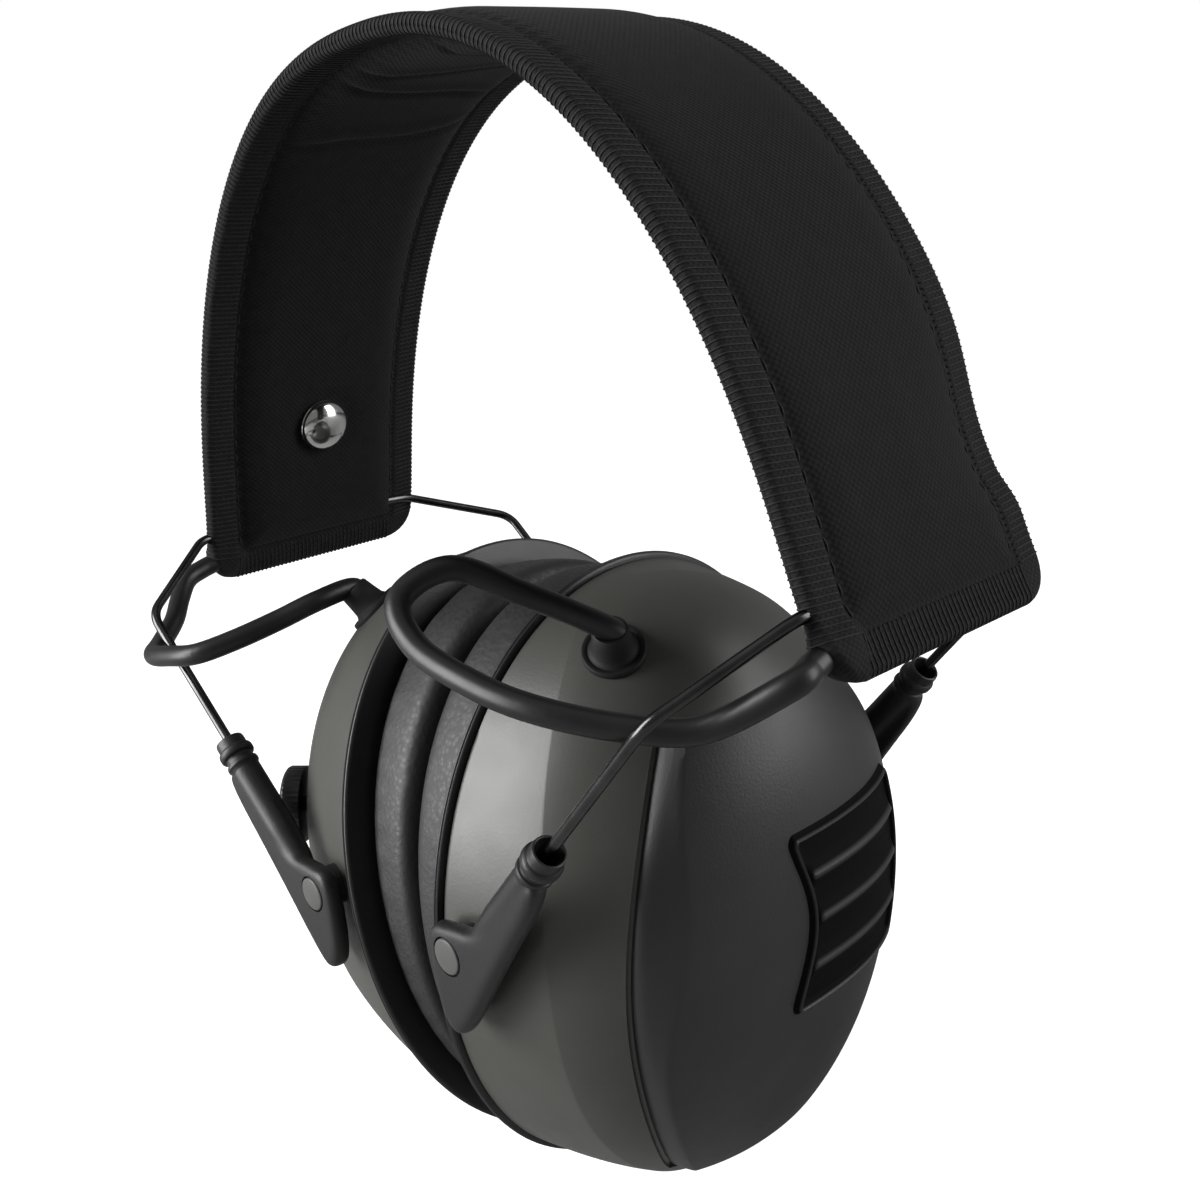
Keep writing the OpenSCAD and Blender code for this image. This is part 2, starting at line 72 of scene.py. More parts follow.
BAR_Z = 9.5  # height of the bail's crossbar
CLIP_R = 2.2  # radius of the clip round the crossbar
MID_Y = (LEAF_LO[1] + LEAF_HI[1]) / 2
SEAT_Z = CLIP_LO[2] - BAR_Z + CLIP_R

BAND_W = COVER_HI[1] - COVER_LO[1]
BAND_HALF = 3.8  # from the middle line to the padded inner face
OUTER_HALF = 2.5  # from the middle line to the flatter outer face
EDGE_HALF = 1.45  # half of the stitched edge's thickness
TRIM = 6.4  # width of the stitched trim
ARCH_W, ARCH_H, FLARE, FLARE_FADE = 76, 91, 4.6, 7.5
ARCH_NX, ARCH_NZ = 2.28, 1.66
TWIST = 2.5  # how far the right half's rear edge leans inwards above its foot
LEAF_W = LEAF_HI[1] - LEAF_LO[1]
BLEND_X = 64  # distance either side of the crown at which band_blend works out two places on the middle line
SNAP_Z, SNAP_R = 29.6, 5.35

WIRE_R = 0.875
EXIT_Y = BAND_W / 2 + 1.4
LEG_Y = 44.1
BEND = np.array([66.3, LEG_Y, -0.2])
MOUTH = np.array([44.6, LEG_Y, -21.8])
LEG_IN = 5
TUBE_R, BEAD_R = 2.65, 3.15
PLATE_Y, PLATE_T = 43.5, 3.2
PIN_R = 3

RIM_X, CUP_Z, SPLAY = 12.3, -48.8, math.radians(6)
PIVOT = np.array([6.4, 0, 5.2])
CUP_RY = (SHELL_HI[1] - SHELL_LO[1]) / 2
CUP_RZ, CUP_D, WALL = 54.7, 37.2, 2.4
DOME_P, RING_P = 2.49, 2.06
EAR_RY, EAR_RZ = 23, 34
LIP_T, LIP_OUT = 1.5, 1.0
CUSHION_IN = 3
MEET_X = 0.45  # where each closed cushion stops, beside the middle plane
HOLE_AT, KNOB_AT, JACK_X = (-17, 48), (-32.8, 14.5), 13
CABLE_R = 1.9
KNOB_R, KNOB_H = 7.0, 4.0

# ---------- small tools ----------


def unit(v):
    return np.asarray(v, float) / np.linalg.norm(v)


LEG_DIR = unit(MOUTH - BEND)


def smoothstep(t):
    t = np.clip(t, 0, 1)
    return t * t * (3 - 2 * t)


def to_row(points, side=1):
    p = np.array(points, float)
    return np.stack([side * p[:, 0], p[:, 1] + MID_Y, p[:, 2] + SEAT_Z], 1) * MM


def row_point(x, y, z, side=1):
    return tuple(to_row([(x, y, z)], side)[0])


def cup_to_band(points):
    p = np.atleast_2d(np.array(points, float))
    c, s = math.cos(SPLAY), math.sin(SPLAY)
    return np.stack([RIM_X + p[:, 0] * c + p[:, 2] * s, p[:, 1], CUP_Z - p[:, 0] * s + p[:, 2] * c], 1)


def cup_dir(v):
    c, s = math.cos(SPLAY), math.sin(SPLAY)
    return np.array([v[0] * c + v[2] * s, v[1], -v[0] * s + v[2] * c])


def grid(nu, nv, wrap_u=False, wrap_v=False, base=0):
    rows = nu if wrap_u else nu - 1
    cols = nv if wrap_v else nv - 1
    faces = []
    for i in range(rows):
        a, b = base + i * nv, base + ((i + 1) % nu) * nv
        for j in range(cols):
            k = (j + 1) % nv
            faces.append((a + j, a + k, b + k, b + j))
    return faces


def rolled(d, reach, least=0.0):
    """A quarter-round rise from a border: 0 on it, 1 from reach inwards."""
    return np.sqrt(np.clip(1 - (1 - np.clip(d / reach, 0, 1)) ** 2, least, 1))


def smooth_shading(mesh, sharp):
    """Smooth faces, with edges kept sharp above an angle in degrees; an angle of 0 keeps none."""
    mesh.polygons.foreach_set("use_smooth", [True] * len(mesh.polygons))
    if sharp:
        mesh.set_sharp_from_angle(angle=math.radians(sharp))


def end_caps(rows, sides):
    """The two faces that close a grid of rows, each with the given number of sides."""
    return [tuple(range(sides)), tuple(range((rows - 1) * sides, rows * sides))]


def piece(name, points, faces, finish, side=1, sharp=35, band=True):
    """A mesh object from points in band millimetres (or in row metres with band=False)."""
    verts = to_row(points, side) if band else np.asarray(points, float)
    mesh = bpy.data.meshes.new(name)
    mesh.from_pydata([tuple(v) for v in verts], [], [tuple(f) for f in faces])
    bm = bmesh.new()
    bm.from_mesh(mesh)
    bmesh.ops.recalc_face_normals(bm, faces=bm.faces)
    bm.to_mesh(mesh)
    bm.free()
    smooth_shading(mesh, sharp)
    obj = bpy.data.objects.new(name, mesh)
    bpy.context.scene.collection.objects.link(obj)
    obj.data.materials.append(finish)
    return obj


def mount(obj, body, slot, *nodes):
    """Fixes a finished piece to its body, in the place of the CAD nodes it stands for."""
    if nodes:
        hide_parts(*nodes)
    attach(obj, body)


def tube(path, radius, sides=16, caps=True):
    """Points and faces of a round tube; radius is one value or one per path point."""
    p = np.array(path, float)
    r = np.broadcast_to(np.asarray(radius, float), (len(p),))
    t = np.gradient(p, axis=0)
    t /= np.linalg.norm(t, axis=1)[:, None]
    s = unit(np.cross(t[0], (0, 0, 1) if abs(t[0][2]) < 0.9 else (1, 0, 0)))
    a = np.linspace(0, 2 * np.pi, sides, endpoint=False)
    points = []
    for i in range(len(p)):
        s = unit(s - (s @ t[i]) * t[i])
        n = np.cross(t[i], s)
        points.append(p[i] + r[i] * (np.cos(a)[:, None] * s + np.sin(a)[:, None] * n))
    faces = grid(len(p), sides, wrap_v=True)
    if caps:
        faces += end_caps(len(p), sides)
    return np.concatenate(points), faces


def joined(parts):
    points, faces, base = [], [], 0
    for p, f in parts:
        points.append(p)
        faces += [tuple(i + base for i in face) for face in f]
        base += len(p)
    return np.concatenate(points), faces


def along(points, origin, axis, hint=(0, 0, 1)):
    """Places points drawn round the z axis so that z runs along axis from origin."""
    n = unit(axis)
    x = unit(np.cross(hint, n)) if abs(n @ unit(hint)) < 0.95 else unit(np.cross((0, 1, 0), n))
    y = np.cross(n, x)
    p = np.array(points, float)
    return np.asarray(origin) + p[:, :1] * x + p[:, 1:2] * y + p[:, 2:] * n


def lathe(profile, n=48, wave=0, count=0, bored=False):
    """A turned shape from (radius, height) points; wave and count knurl its widest radius.
    A bored one joins its last ring to its first, so that its hole stays open."""
    a = np.linspace(0, 2 * np.pi, n, endpoint=False)
    widest = max(r for r, h in profile)
    points = []
    for r, h in profile:
        grow = wave * np.cos(count * a) * (r > widest * 0.93) if count else 0
        points.append(np.stack([(r + grow) * np.cos(a), (r + grow) * np.sin(a), np.full(n, h)], 1))
    faces = grid(len(profile), n, wrap_v=True)
    first, last = end_caps(len(profile), n)
    if bored:
        faces += [(last[i], last[(i + 1) % n], (i + 1) % n, i) for i in range(n)]
    else:
        faces += [first, last]
    return np.concatenate(points), faces


def spline(points, n=10):
    """A smooth path through the points (Catmull-Rom)."""
    p = np.array(points, float)
    q = np.vstack([2 * p[0] - p[1], p, 2 * p[-1] - p[-2]])
    out = []
    for i in range(len(p) - 1):
        a, b, c, d = q[i : i + 4]
        for t in np.linspace(0, 1, n, endpoint=False):
            out.append(0.5 * (2 * b + (c - a) * t + (2 * a - 5 * b + 4 * c - d) * t * t
                              + (3 * b - a - 3 * c + d) * t ** 3))
    out.append(p[-1])
    return np.array(out)


def rounded_corner(a, c, b, cut, n=10):
    p, q = c - unit(c - a) * cut, c + unit(b - c) * cut
    t = np.linspace(0, 1, n)[:, None]
    return (1 - t) ** 2 * p + 2 * t * (1 - t) * c + t * t * q


def noise3(p, scale, seed=0):
    """A smooth, repeatable wobble of about -1 to 1 at each point."""
    rng = np.random.default_rng(seed)
    out = np.zeros(len(p))
    for _ in range(6):
        k = rng.normal(size=3) * scale
        out += np.sin(p @ k + rng.uniform(0, 2 * np.pi))
    return out / 6 ** 0.5


def store_vector(obj, name, values):
    attribute = obj.data.attributes.new(name, "FLOAT_VECTOR", "POINT")
    attribute.data.foreach_set("vector", np.asarray(values, np.float32).ravel())


def cut(obj, points, faces, side=1):
    """Cuts a closed shape out of obj."""
    tool = piece("cutter", points, faces, obj.data.materials[0], side)
    mod = obj.modifiers.new("cut", "BOOLEAN")
    mod.operation, mod.solver, mod.object = "DIFFERENCE", "EXACT", tool
    bake(obj)
    bpy.data.objects.remove(tool)


def bake(obj):
    """Turns obj's modifiers into its mesh."""
    bpy.context.view_layer.update()
    graph = bpy.context.evaluated_depsgraph_get()
    mesh = bpy.data.meshes.new_from_object(obj.evaluated_get(graph))
    obj.modifiers.clear()
    obj.data = mesh


def coords(mesh):
    co = np.zeros(len(mesh.vertices) * 3)
    mesh.vertices.foreach_get("co", co)
    return co.reshape(-1, 3)


def puff(obj, held, pressure, cap, frames=20):
    """Inflates obj as cloth with some points held, moves no point further than cap, and keeps the result."""
    scene = bpy.context.scene
    rest = coords(obj.data)
    group = obj.vertex_groups.new(name="held")
    group.add([int(i) for i in held], 1.0, "REPLACE")
    mod = obj.modifiers.new("Cloth", "CLOTH")
    mod.settings.quality = 6
    mod.settings.use_pressure = True
    mod.settings.uniform_pressure_force = pressure
    mod.settings.effector_weights.gravity = 0
    mod.settings.vertex_group_mass = "held"
    mod.point_cache.frame_start, mod.point_cache.frame_end = 1, frames
    for f in range(1, frames + 1):
        scene.frame_set(f)
    graph = bpy.context.evaluated_depsgraph_get()
    step = coords(obj.evaluated_get(graph).data) - rest
    obj.modifiers.remove(mod)
    length = np.linalg.norm(step, axis=1)
    step *= np.minimum(1, cap / np.maximum(length, 1e-9))[:, None]
    obj.data.vertices.foreach_set("co", (rest + step).ravel())
    obj.data.update()
    scene.frame_set(1)


# ---------- materials ----------


class Shader:
    """A Principled material with short ways to add procedural detail."""

    def __init__(self, name, roughness, specular=0.5, metallic=0.0):
        self.material = bpy.data.materials.new(name)
        self.material.use_nodes = True
        self.tree = self.material.node_tree
        self.tree.nodes.clear()
        out = self.node("ShaderNodeOutputMaterial")
        self.bsdf = self.node("ShaderNodeBsdfPrincipled")
        self.tree.links.new(self.bsdf.outputs["BSDF"], out.inputs["Surface"])
        self.bsdf.inputs["Roughness"].default_value = roughness
        self.bsdf.inputs["Specular IOR Level"].default_value = specular
        self.bsdf.inputs["Metallic"].default_value = metallic
        self.place = self.node("ShaderNodeTexCoord").outputs["Object"]
        self.bump = None

    def node(self, kind, **values):
        n = self.tree.nodes.new(kind)
        for key, value in values.items():
            setattr(n, key, value)
        return n

    def link(self, a, b):
        self.tree.links.new(a, b)

    def noise(self, scale, detail=3.0, rough=0.5, where=None):
        n = self.node("ShaderNodeTexNoise")
        n.inputs["Scale"].default_value = scale
        n.inputs["Detail"].default_value = detail
        n.inputs["Roughness"].default_value = rough
        self.link(where or self.place, n.inputs["Vector"])
        return n.outputs["Fac"]

    def math(self, op, a, b=None, clamp=False):
        n = self.node("ShaderNodeMath", operation=op, use_clamp=clamp)
        for i, v in enumerate((a, b)):
            if isinstance(v, (int, float)):
                n.inputs[i].default_value = v
            elif v is not None:
                self.link(v, n.inputs[i])
        return n.outputs[0]

    def spread(self, fac, lo, hi, to_lo=0.0, to_hi=1.0):
        n = self.node("ShaderNodeMapRange")
        for key, value in zip(("From Min", "From Max", "To Min", "To Max"), (lo, hi, to_lo, to_hi)):
            n.inputs[key].default_value = value
        self.link(fac, n.inputs["Value"])
        return n.outputs["Result"]

    def mix(self, fac, a, b):
        n = self.node("ShaderNodeMix", data_type="RGBA")
        self.link(fac, n.inputs["Factor"])
        for i, v in ((6, a), (7, b)):
            if isinstance(v, tuple):
                n.inputs[i].default_value = (*v, 1)
            else:
                self.link(v, n.inputs[i])
        return n.outputs[2]

    def colour(self, socket):
        self.link(socket, self.bsdf.inputs["Base Color"])

    def rough(self, socket):
        self.link(socket, self.bsdf.inputs["Roughness"])

    def relief(self, height, distance, strength=1.0):
        n = self.node("ShaderNodeBump")
        n.inputs["Strength"].default_value = strength
        n.inputs["Distance"].default_value = distance
        self.link(height, n.inputs["Height"])
        if self.bump is not None:
            self.link(self.bump, n.inputs["Normal"])
        self.bump = n.outputs["Normal"]
        self.link(self.bump, self.bsdf.inputs["Normal"])


def moulded(name, dark, light, rough, specular=0.5, grain=2600, depth=0.00003, wear_and_highlight=None):
    """Moulded plastic: a fine spark-eroded grain, faint mottling and paler, smoother edges, partly wear and
    partly a painted highlight.
    """
    s = Shader(name, rough, specular)
    mottle = s.spread(s.noise(60, 4), 0.35, 0.65)
    base = s.mix(mottle, dark, light)
    if wear_and_highlight:
        # Sharp edges get a paler colour: partly wear, partly a painted highlight along them.
        edge = s.spread(s.node("ShaderNodeNewGeometry").outputs["Pointiness"], 0.53, 0.6)
        base = s.mix(s.math("MULTIPLY", edge, 0.5), base, wear_and_highlight)
    s.colour(base)
    s.rough(s.spread(s.noise(190, 3), 0.3, 0.7, rough - 0.015, rough + 0.02))
    s.relief(s.noise(grain, 2), depth)
    return s.material


def shell_plastic():
    return moulded("satin_olive_shell", (0.046, 0.046, 0.0415), (0.053, 0.053, 0.0475), 0.4, 0.45,
                   grain=2200, depth=0.00002, wear_and_highlight=(0.1, 0.1, 0.09))


def cover_plastic():
    return moulded("charcoal_cover", (0.015, 0.015, 0.015), (0.019, 0.019, 0.019), 0.44, 0.4,
                   grain=2400, depth=0.00003, wear_and_highlight=(0.05, 0.05, 0.05))


def arm_plastic():
    return moulded("charcoal_arm", (0.008, 0.008, 0.008), (0.0105, 0.0105, 0.0105), 0.46, 0.38,
                   grain=1900, depth=0.00003, wear_and_highlight=(0.03, 0.03, 0.03))


def rim_plastic():
    return moulded("dark_rim", (0.012, 0.012, 0.012), (0.015, 0.015, 0.015), 0.42, 0.4,
                   wear_and_highlight=(0.03, 0.03, 0.03))


def pin_plastic():
    return moulded("grey_pin", (0.06, 0.06, 0.058), (0.075, 0.075, 0.073), 0.45, 0.35, grain=1500)


def grip_rubber():
    """Black rubber, with painted shade in the valleys between its ribs and a painted highlight on the crests,
    which are also smoother.
    """
    s = Shader("ribbed_rubber", 0.6, 0.3)
    crest = s.node("ShaderNodeAttribute", attribute_name="crest").outputs["Fac"]
    crest_light_mask = s.spread(crest, 0.55, 1.0)
    # Painted shade in the valleys and a painted highlight on the crests; the same crest mask also sets
    # roughness and specular.
    s.colour(s.mix(crest_light_mask, (0.0015, 0.0015, 0.0015), (0.022, 0.022, 0.022)))
    s.rough(s.spread(crest_light_mask, 0, 1, 0.75, 0.42))
    s.link(s.spread(crest_light_mask, 0, 1, 0.08, 0.45), s.bsdf.inputs["Specular IOR Level"])
    s.relief(s.noise(1500, 2), 0.00004)
    return s.material


def knob_plastic():
    return moulded("black_knob", (0.01, 0.01, 0.01), (0.014, 0.014, 0.014), 0.36, 0.5)


def cable_rubber():
    return moulded("glossy_cable", (0.005, 0.005, 0.005), (0.008, 0.008, 0.008), 0.42, 0.38,
                   grain=700, depth=0.00003)


def grommet_rubber():
    return moulded("soft_grommet", (0.004, 0.004, 0.004), (0.007, 0.007, 0.007), 0.62, 0.25, grain=1300)


def speaker_plastic():
    return moulded("speaker_black", (0.014, 0.014, 0.014), (0.02, 0.02, 0.02), 0.5)


def battery_wrap():
    return moulded("battery_wrap", (0.35, 0.2, 0.03), (0.42, 0.25, 0.05), 0.3, 0.5, grain=900)


def board_material():
    s = Shader("circuit_board", 0.35)
    traces = s.spread(s.noise(700, 1), 0.5, 0.53)
    s.colour(s.mix(traces, (0.01, 0.07, 0.03), (0.03, 0.16, 0.07)))
    s.relief(traces, 0.00005)
    return s.material


def metal(name, dark, light, rough, scratch=900):
    s = Shader(name, rough, 0.5, 1.0)
    s.colour(s.mix(s.spread(s.noise(120, 3), 0.35, 0.65), dark, light))
    s.rough(s.spread(s.noise(scratch, 4), 0.3, 0.7, rough * 0.9, rough * 1.15))
    s.relief(s.noise(scratch, 2), 0.000002)
    return s.material


def snap_chrome():
    return metal("snap_chrome", (0.5, 0.5, 0.48), (0.62, 0.62, 0.6), 0.13, 300)


def bail_steel():
    return metal("dark_spring_steel", (0.04, 0.04, 0.04), (0.07, 0.07, 0.07), 0.24)


def spring_steel():
    return metal("leaf_steel", (0.45, 0.47, 0.5), (0.55, 0.56, 0.58), 0.3)


def contact_metal():
    return metal("contact_metal", (0.6, 0.58, 0.5), (0.7, 0.68, 0.6), 0.25)


def woven(name, body, trim, pitch, depth, sheen):
    """Woven webbing: crossing yarns, a paler overlocked trim, loose colour variation and a soft sheen.
    The weave attribute holds millimetres along, across and in from the sewn border."""
    s = Shader(name, 0.88, 0.22)
    weave = s.node("ShaderNodeAttribute", attribute_name="weave").outputs["Vector"]
    split = s.node("ShaderNodeSeparateXYZ")
    s.link(weave, split.inputs[0])
    yarns = []
    for axis, phase in (("X", 0.0), ("Y", 1.1)):
        turn = s.math("MULTIPLY", split.outputs[axis], 2 * math.pi / pitch)
        yarns.append(s.math("SINE", s.math("ADD", turn, phase)))
    cross = s.math("ADD", s.math("MULTIPLY", s.math("MULTIPLY", yarns[0], yarns[1]), 0.5), 0.5)
    border = s.spread(split.outputs["Z"], TRIM - 0.4, TRIM + 0.4, 1.0, 0.0)
    lint = s.spread(s.noise(0.35, 4, where=weave), 0.3, 0.7, 0.75, 1.25)
    base = s.mix(border, body, trim)
    shade = s.node("ShaderNodeVectorMath", operation="SCALE")
    s.link(base, shade.inputs[0])
    s.link(s.math("MULTIPLY", lint, s.spread(cross, 0, 1, 0.65, 1.2)), shade.inputs["Scale"])
    s.colour(shade.outputs[0])
    s.relief(cross, depth, 0.8)
    s.relief(s.noise(2.2, 3, where=weave), depth * 1.5, 0.5)
    s.bsdf.inputs["Sheen Weight"].default_value = sheen
    s.bsdf.inputs["Sheen Roughness"].default_value = 0.45
    return s.material


def sleeve_fabric():
    return woven("sleeve_fabric", (0.0052, 0.0052, 0.0055), (0.0085, 0.0085, 0.0085), 1.05, 0.00011, 0.02)


def thread():
    s = Shader("overlock_thread", 0.7, 0.3)
    s.colour(s.mix(s.spread(s.noise(900, 2), 0.35, 0.65), (0.007, 0.007, 0.007), (0.016, 0.016, 0.016)))
    s.relief(s.noise(5200, 2), 0.00005)
    return s.material


def vinyl():
    """Soft cushion vinyl with a pebbled grain and faint creases."""
    s = Shader("cushion_vinyl", 0.5, 0.45)
    pebble = s.node("ShaderNodeTexVoronoi")
    pebble.inputs["Scale"].default_value = 1100
    s.link(s.place, pebble.inputs["Vector"])
    s.colour(s.mix(s.spread(s.noise(70, 4), 0.35, 0.65), (0.01, 0.01, 0.01), (0.014, 0.014, 0.014)))
    s.rough(s.spread(pebble.outputs["Distance"], 0, 0.6, 0.44, 0.6))
    s.relief(pebble.outputs["Distance"], 0.00006, 0.7)
    s.relief(s.noise(160, 5, 0.6), 0.0003, 0.5)
    return s.material


def foam():
    s = Shader("open_foam", 0.95, 0.15)
    cells = s.node("ShaderNodeTexVoronoi")
    cells.inputs["Scale"].default_value = 900
    s.link(s.place, cells.inputs["Vector"])
    s.colour(s.mix(s.spread(cells.outputs["Distance"], 0, 0.7), (0.018, 0.018, 0.019), (0.05, 0.05, 0.052)))
    s.relief(cells.outputs["Distance"], 0.0003)
    return s.material


# ---------- headband ----------


class Arch:
    """The band's middle line, by length along it from the crown: negative on the left."""

    def __init__(self):
        t = np.radians(np.linspace(90, 0, 3001))
        z = ARCH_H * np.sin(t) ** (2 / ARCH_NZ)
        x = ARCH_W * np.clip(np.cos(t), 0, 1) ** (2 / ARCH_NX) + FLARE * np.exp(-z / FLARE_FADE)
        x -= x[0]
        step = np.hypot(np.diff(x), np.diff(z))
        self.u = np.concatenate([[0], np.cumsum(step)])
        self.x, self.z = x, z
        self.length = self.u[-1]

    def at(self, u):
        u = np.asarray(u, float)
        w = np.clip(np.abs(u), 0, self.length)
        return np.sign(u) * np.interp(w, self.u, self.x), np.interp(w, self.u, self.z)

    def normal(self, u):
        h = 0.6
        x0, z0 = self.at(np.clip(u - h, -self.length, self.length))
        x1, z1 = self.at(np.clip(u + h, -self.length, self.length))
        n = np.stack([-(z1 - z0), x1 - x0], -1)
        return n / np.linalg.norm(n, axis=-1, keepdims=True)

    def place(self, u, y, off):
        x, z = self.at(u)
        end = self.length - u
        lean = np.exp(-(((end - 26) / 13) ** 2)) * smoothstep((end - 12) / 8) * smoothstep(np.asarray(y) / 25)
        off = off - TWIST * lean
        n = self.normal(u)
        return np.stack([x + off * n[..., 0], y, z + off * n[..., 1]], -1)

    def u_at_height(self, z):
        return np.interp(-z, -self.z, self.u)


ARCH = Arch()
END_R = 6.5  # corner radius of the band's ends


def half_width(u):
    d = np.clip(ARCH.length - np.abs(u), 0, END_R)
    return BAND_W / 2 - END_R + np.sqrt(np.maximum(END_R ** 2 - (END_R - d) ** 2, 0))


def border_distance(u, y):
    """How far in from the sewn border a place lies, following the round corners."""
    dy = BAND_W / 2 - np.abs(y)
    du = ARCH.length - np.abs(u)
    corner = END_R - np.hypot(np.maximum(END_R - dy, 0), np.maximum(END_R - du, 0))
    return np.where((dy < END_R) & (du < END_R), corner, np.minimum(dy, du))


def sleeve_half(u, y, face):
    """Half the sleeve's thickness: thin rounded border, a sewn channel, then the crowned padding."""
    d = np.maximum(border_distance(u, y), 0)
    border = EDGE_HALF * rolled(d, 1.3, 0.02)
    rise = np.clip((d - TRIM) / 7.5, 0, 1)
    pad = ((OUTER_HALF if face > 0 else BAND_HALF) - EDGE_HALF) * (1 - (1 - rise) ** 2.4)
    channel = -0.35 * np.exp(-(((d - TRIM) / 0.55) ** 2))
    pucker = 0.16 * np.sin(2 * np.pi * u / 2.6) * np.exp(-(((d - TRIM - 1.2) / 1.1) ** 2))
    h = border + pad + channel + pucker
    puffy = smoothstep((d - TRIM) / 5)
    if face < 0:
        for u0, slant, deep in ((-34, 0.22, 0.5), (-19, -0.15, 0.7), (-7, 0.3, 0.6), (6, -0.25, 0.75),
                                (17, 0.1, 0.55), (29, -0.3, 0.6), (43, 0.15, 0.35)):
            line = u - u0 - slant * y - 1.2 * np.sin(y / 6 + u0)
            swell = 0.45 * np.exp(-(((line - 2.4) / 1.8) ** 2))
            h = h - deep * puffy * (np.exp(-((line / 0.9) ** 2)) - swell)
        for s in (-1, 1):
            r = np.hypot(u - s * ARCH.u_at_height(SNAP_Z), y)
            h = h - 0.45 * np.exp(-(((r - SNAP_R - 0.8) / 1.6) ** 2))
    hem = ARCH.length - np.abs(u) - 3.6 + 0.22 * (-26.5 - y)
    wrapped = smoothstep((-14 - y) / 6) * np.sqrt(np.clip(1 - (hem / 4.6) ** 2, 0, 1))
    h = np.maximum(h, (CABLE_R + 0.55) * wrapped * rolled(d, 1.0, 0.02))
    slack = 0.12 * np.sin(u / 9.0 + 0.4 * np.sin(y / 7)) * np.sin(y / 11 + face) * puffy
    return h + slack


def sleeve_surface(u, y, face, lift=0.0):
    return ARCH.place(u, y, face * (sleeve_half(u, y, face) + lift))


def band_blend(obj):
    start, end = row_point(-BLEND_X, 0, ARCH_H), row_point(BLEND_X, 0, ARCH_H)
    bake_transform(obj)


def headband_sleeve():
    ends = ARCH.length - np.array([0.02, 0.12, 0.35, 0.7, 1.2, 1.8, 2.6, 3.4, 4.4, 5.4, 6.0, 6.5, 7.1])
    middle = np.linspace(0, ARCH.length - 7.9, 168)
    right = np.concatenate([middle, ends[::-1]])
    stations = np.concatenate([-right[:0:-1], right])
    across = np.sin(np.linspace(-np.pi / 2, np.pi / 2, 65))
    inset = np.clip(1 - np.abs(across), 0, 1)
    share = np.sign(across) * (1 - inset ** 0.92)
    loop = np.concatenate([share, share[-2:0:-1]])
    face = np.concatenate([np.ones(len(share)), -np.ones(len(share) - 2)])
    points, weave = [], []
    for u in stations:
        y = loop * half_width(u)
        uu = np.full(len(y), u)
        top = sleeve_surface(uu, y, 1)
        low = sleeve_surface(uu, y, -1)
        middle_line = ARCH.place(uu, y, 0)
        p = np.where(face[:, None] > 0, top, low)
        tips = [0, len(share) - 1]
        p[tips] = middle_line[tips]
        points.append(p)
        weave.append(np.stack([uu, y + 40 * (face < 0), border_distance(uu, y)], 1))
    k = len(loop)
    faces = grid(len(stations), k, wrap_v=True) + end_caps(len(stations), k)
    obj = piece("headband_sleeve", np.concatenate(points), faces, sleeve_fabric(), sharp=0)
    store_vector(obj, "weave", np.concatenate(weave))
    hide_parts("headband_cover_left", "headband_cover_right")
    band_blend(obj)


def headband_stitching():
    """Overlock threads wrapped round the band's whole border, and a lockstitch along the channel."""
    pitch, radius, reach = 0.95, 0.13, TRIM - 0.7
    depth = np.array([reach, reach * 0.72, reach * 0.45, reach * 0.22, 0.5, 0.12])
    parts = []

    def border_place(s, d, face, lift):
        """A place d in from the border, s along one straight side of the border."""
        side, u = s
        y = side * (half_width(u) - d)
        return sleeve_surface(np.array([u]), np.array([y]), face, lift)[0]

    n = int((2 * ARCH.length - 2 * END_R) / pitch)
    for side in (-1, 1):
        for u in np.linspace(-ARCH.length + END_R, ARCH.length - END_R, n):
            top = [border_place((side, u + 0.5 * d / reach), d, 1, 0.05) for d in depth]
            low = [border_place((side, u - 0.5 * d / reach), d, -1, 0.05) for d in depth[::-1]]
            rim_y = side * (BAND_W / 2 + 0.1)
            turn = ARCH.place(np.array([u]), np.array([rim_y]), 0)[0]
            parts.append(tube(spline(top + [turn] + low, 2), radius, 5))
        for face in (-1, 1):
            for u in np.linspace(-ARCH.length + 9, ARCH.length - 9, int(2 * ARCH.length / 3.1)):
                path = [border_place((side, u + du), TRIM, face, lift)
                        for du, lift in ((-1.0, -0.1), (-0.6, 0.12), (0, 0.2), (0.6, 0.12), (1.0, -0.1))]
                parts.append(tube(path, 0.16, 5))
    for end in (-1, 1):
        for y in np.arange(-BAND_W / 2 + END_R, BAND_W / 2 - END_R + 0.1, pitch):
            path = []
            for face, ds in ((1, depth), (-1, depth[::-1])):
                for d in ds:
                    u = end * (ARCH.length - d)
                    slant = face * 0.5 * d / reach
                    path.append(sleeve_surface(np.array([u]), np.array([y + slant]), face, 0.05)[0])
            parts.append(tube(spline(path, 2), radius, 5))
    points, faces = joined(parts)
    obj = piece("headband_stitching", points, faces, thread(), sharp=0)
    band_blend(obj)


def band_strip(name, low, high, width, reach, finish, nodes, crown=0.0):
    """One continuous strip inside the sleeve, between two offsets from the band's middle line."""
    stations = np.linspace(-reach, reach, 221)
    across = np.array([-1, -0.985, -0.9, -0.6, -0.2, 0.2, 0.6, 0.9, 0.985, 1])
    points = []
    for u in stations:
        y = across * width / 2
        uu = np.full(len(y), u)
        swell = crown * (1 - across ** 2)
        top = ARCH.place(uu, y, high + swell)
        under = ARCH.place(uu, y, low - swell)
        points.append(np.concatenate([top, under[::-1]]))
    k = 2 * len(across)
    faces = grid(len(stations), k, wrap_v=True) + end_caps(len(stations), k)
    obj = piece(name, np.concatenate(points), faces, finish, sharp=40)
    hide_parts(*nodes)
    band_blend(obj)


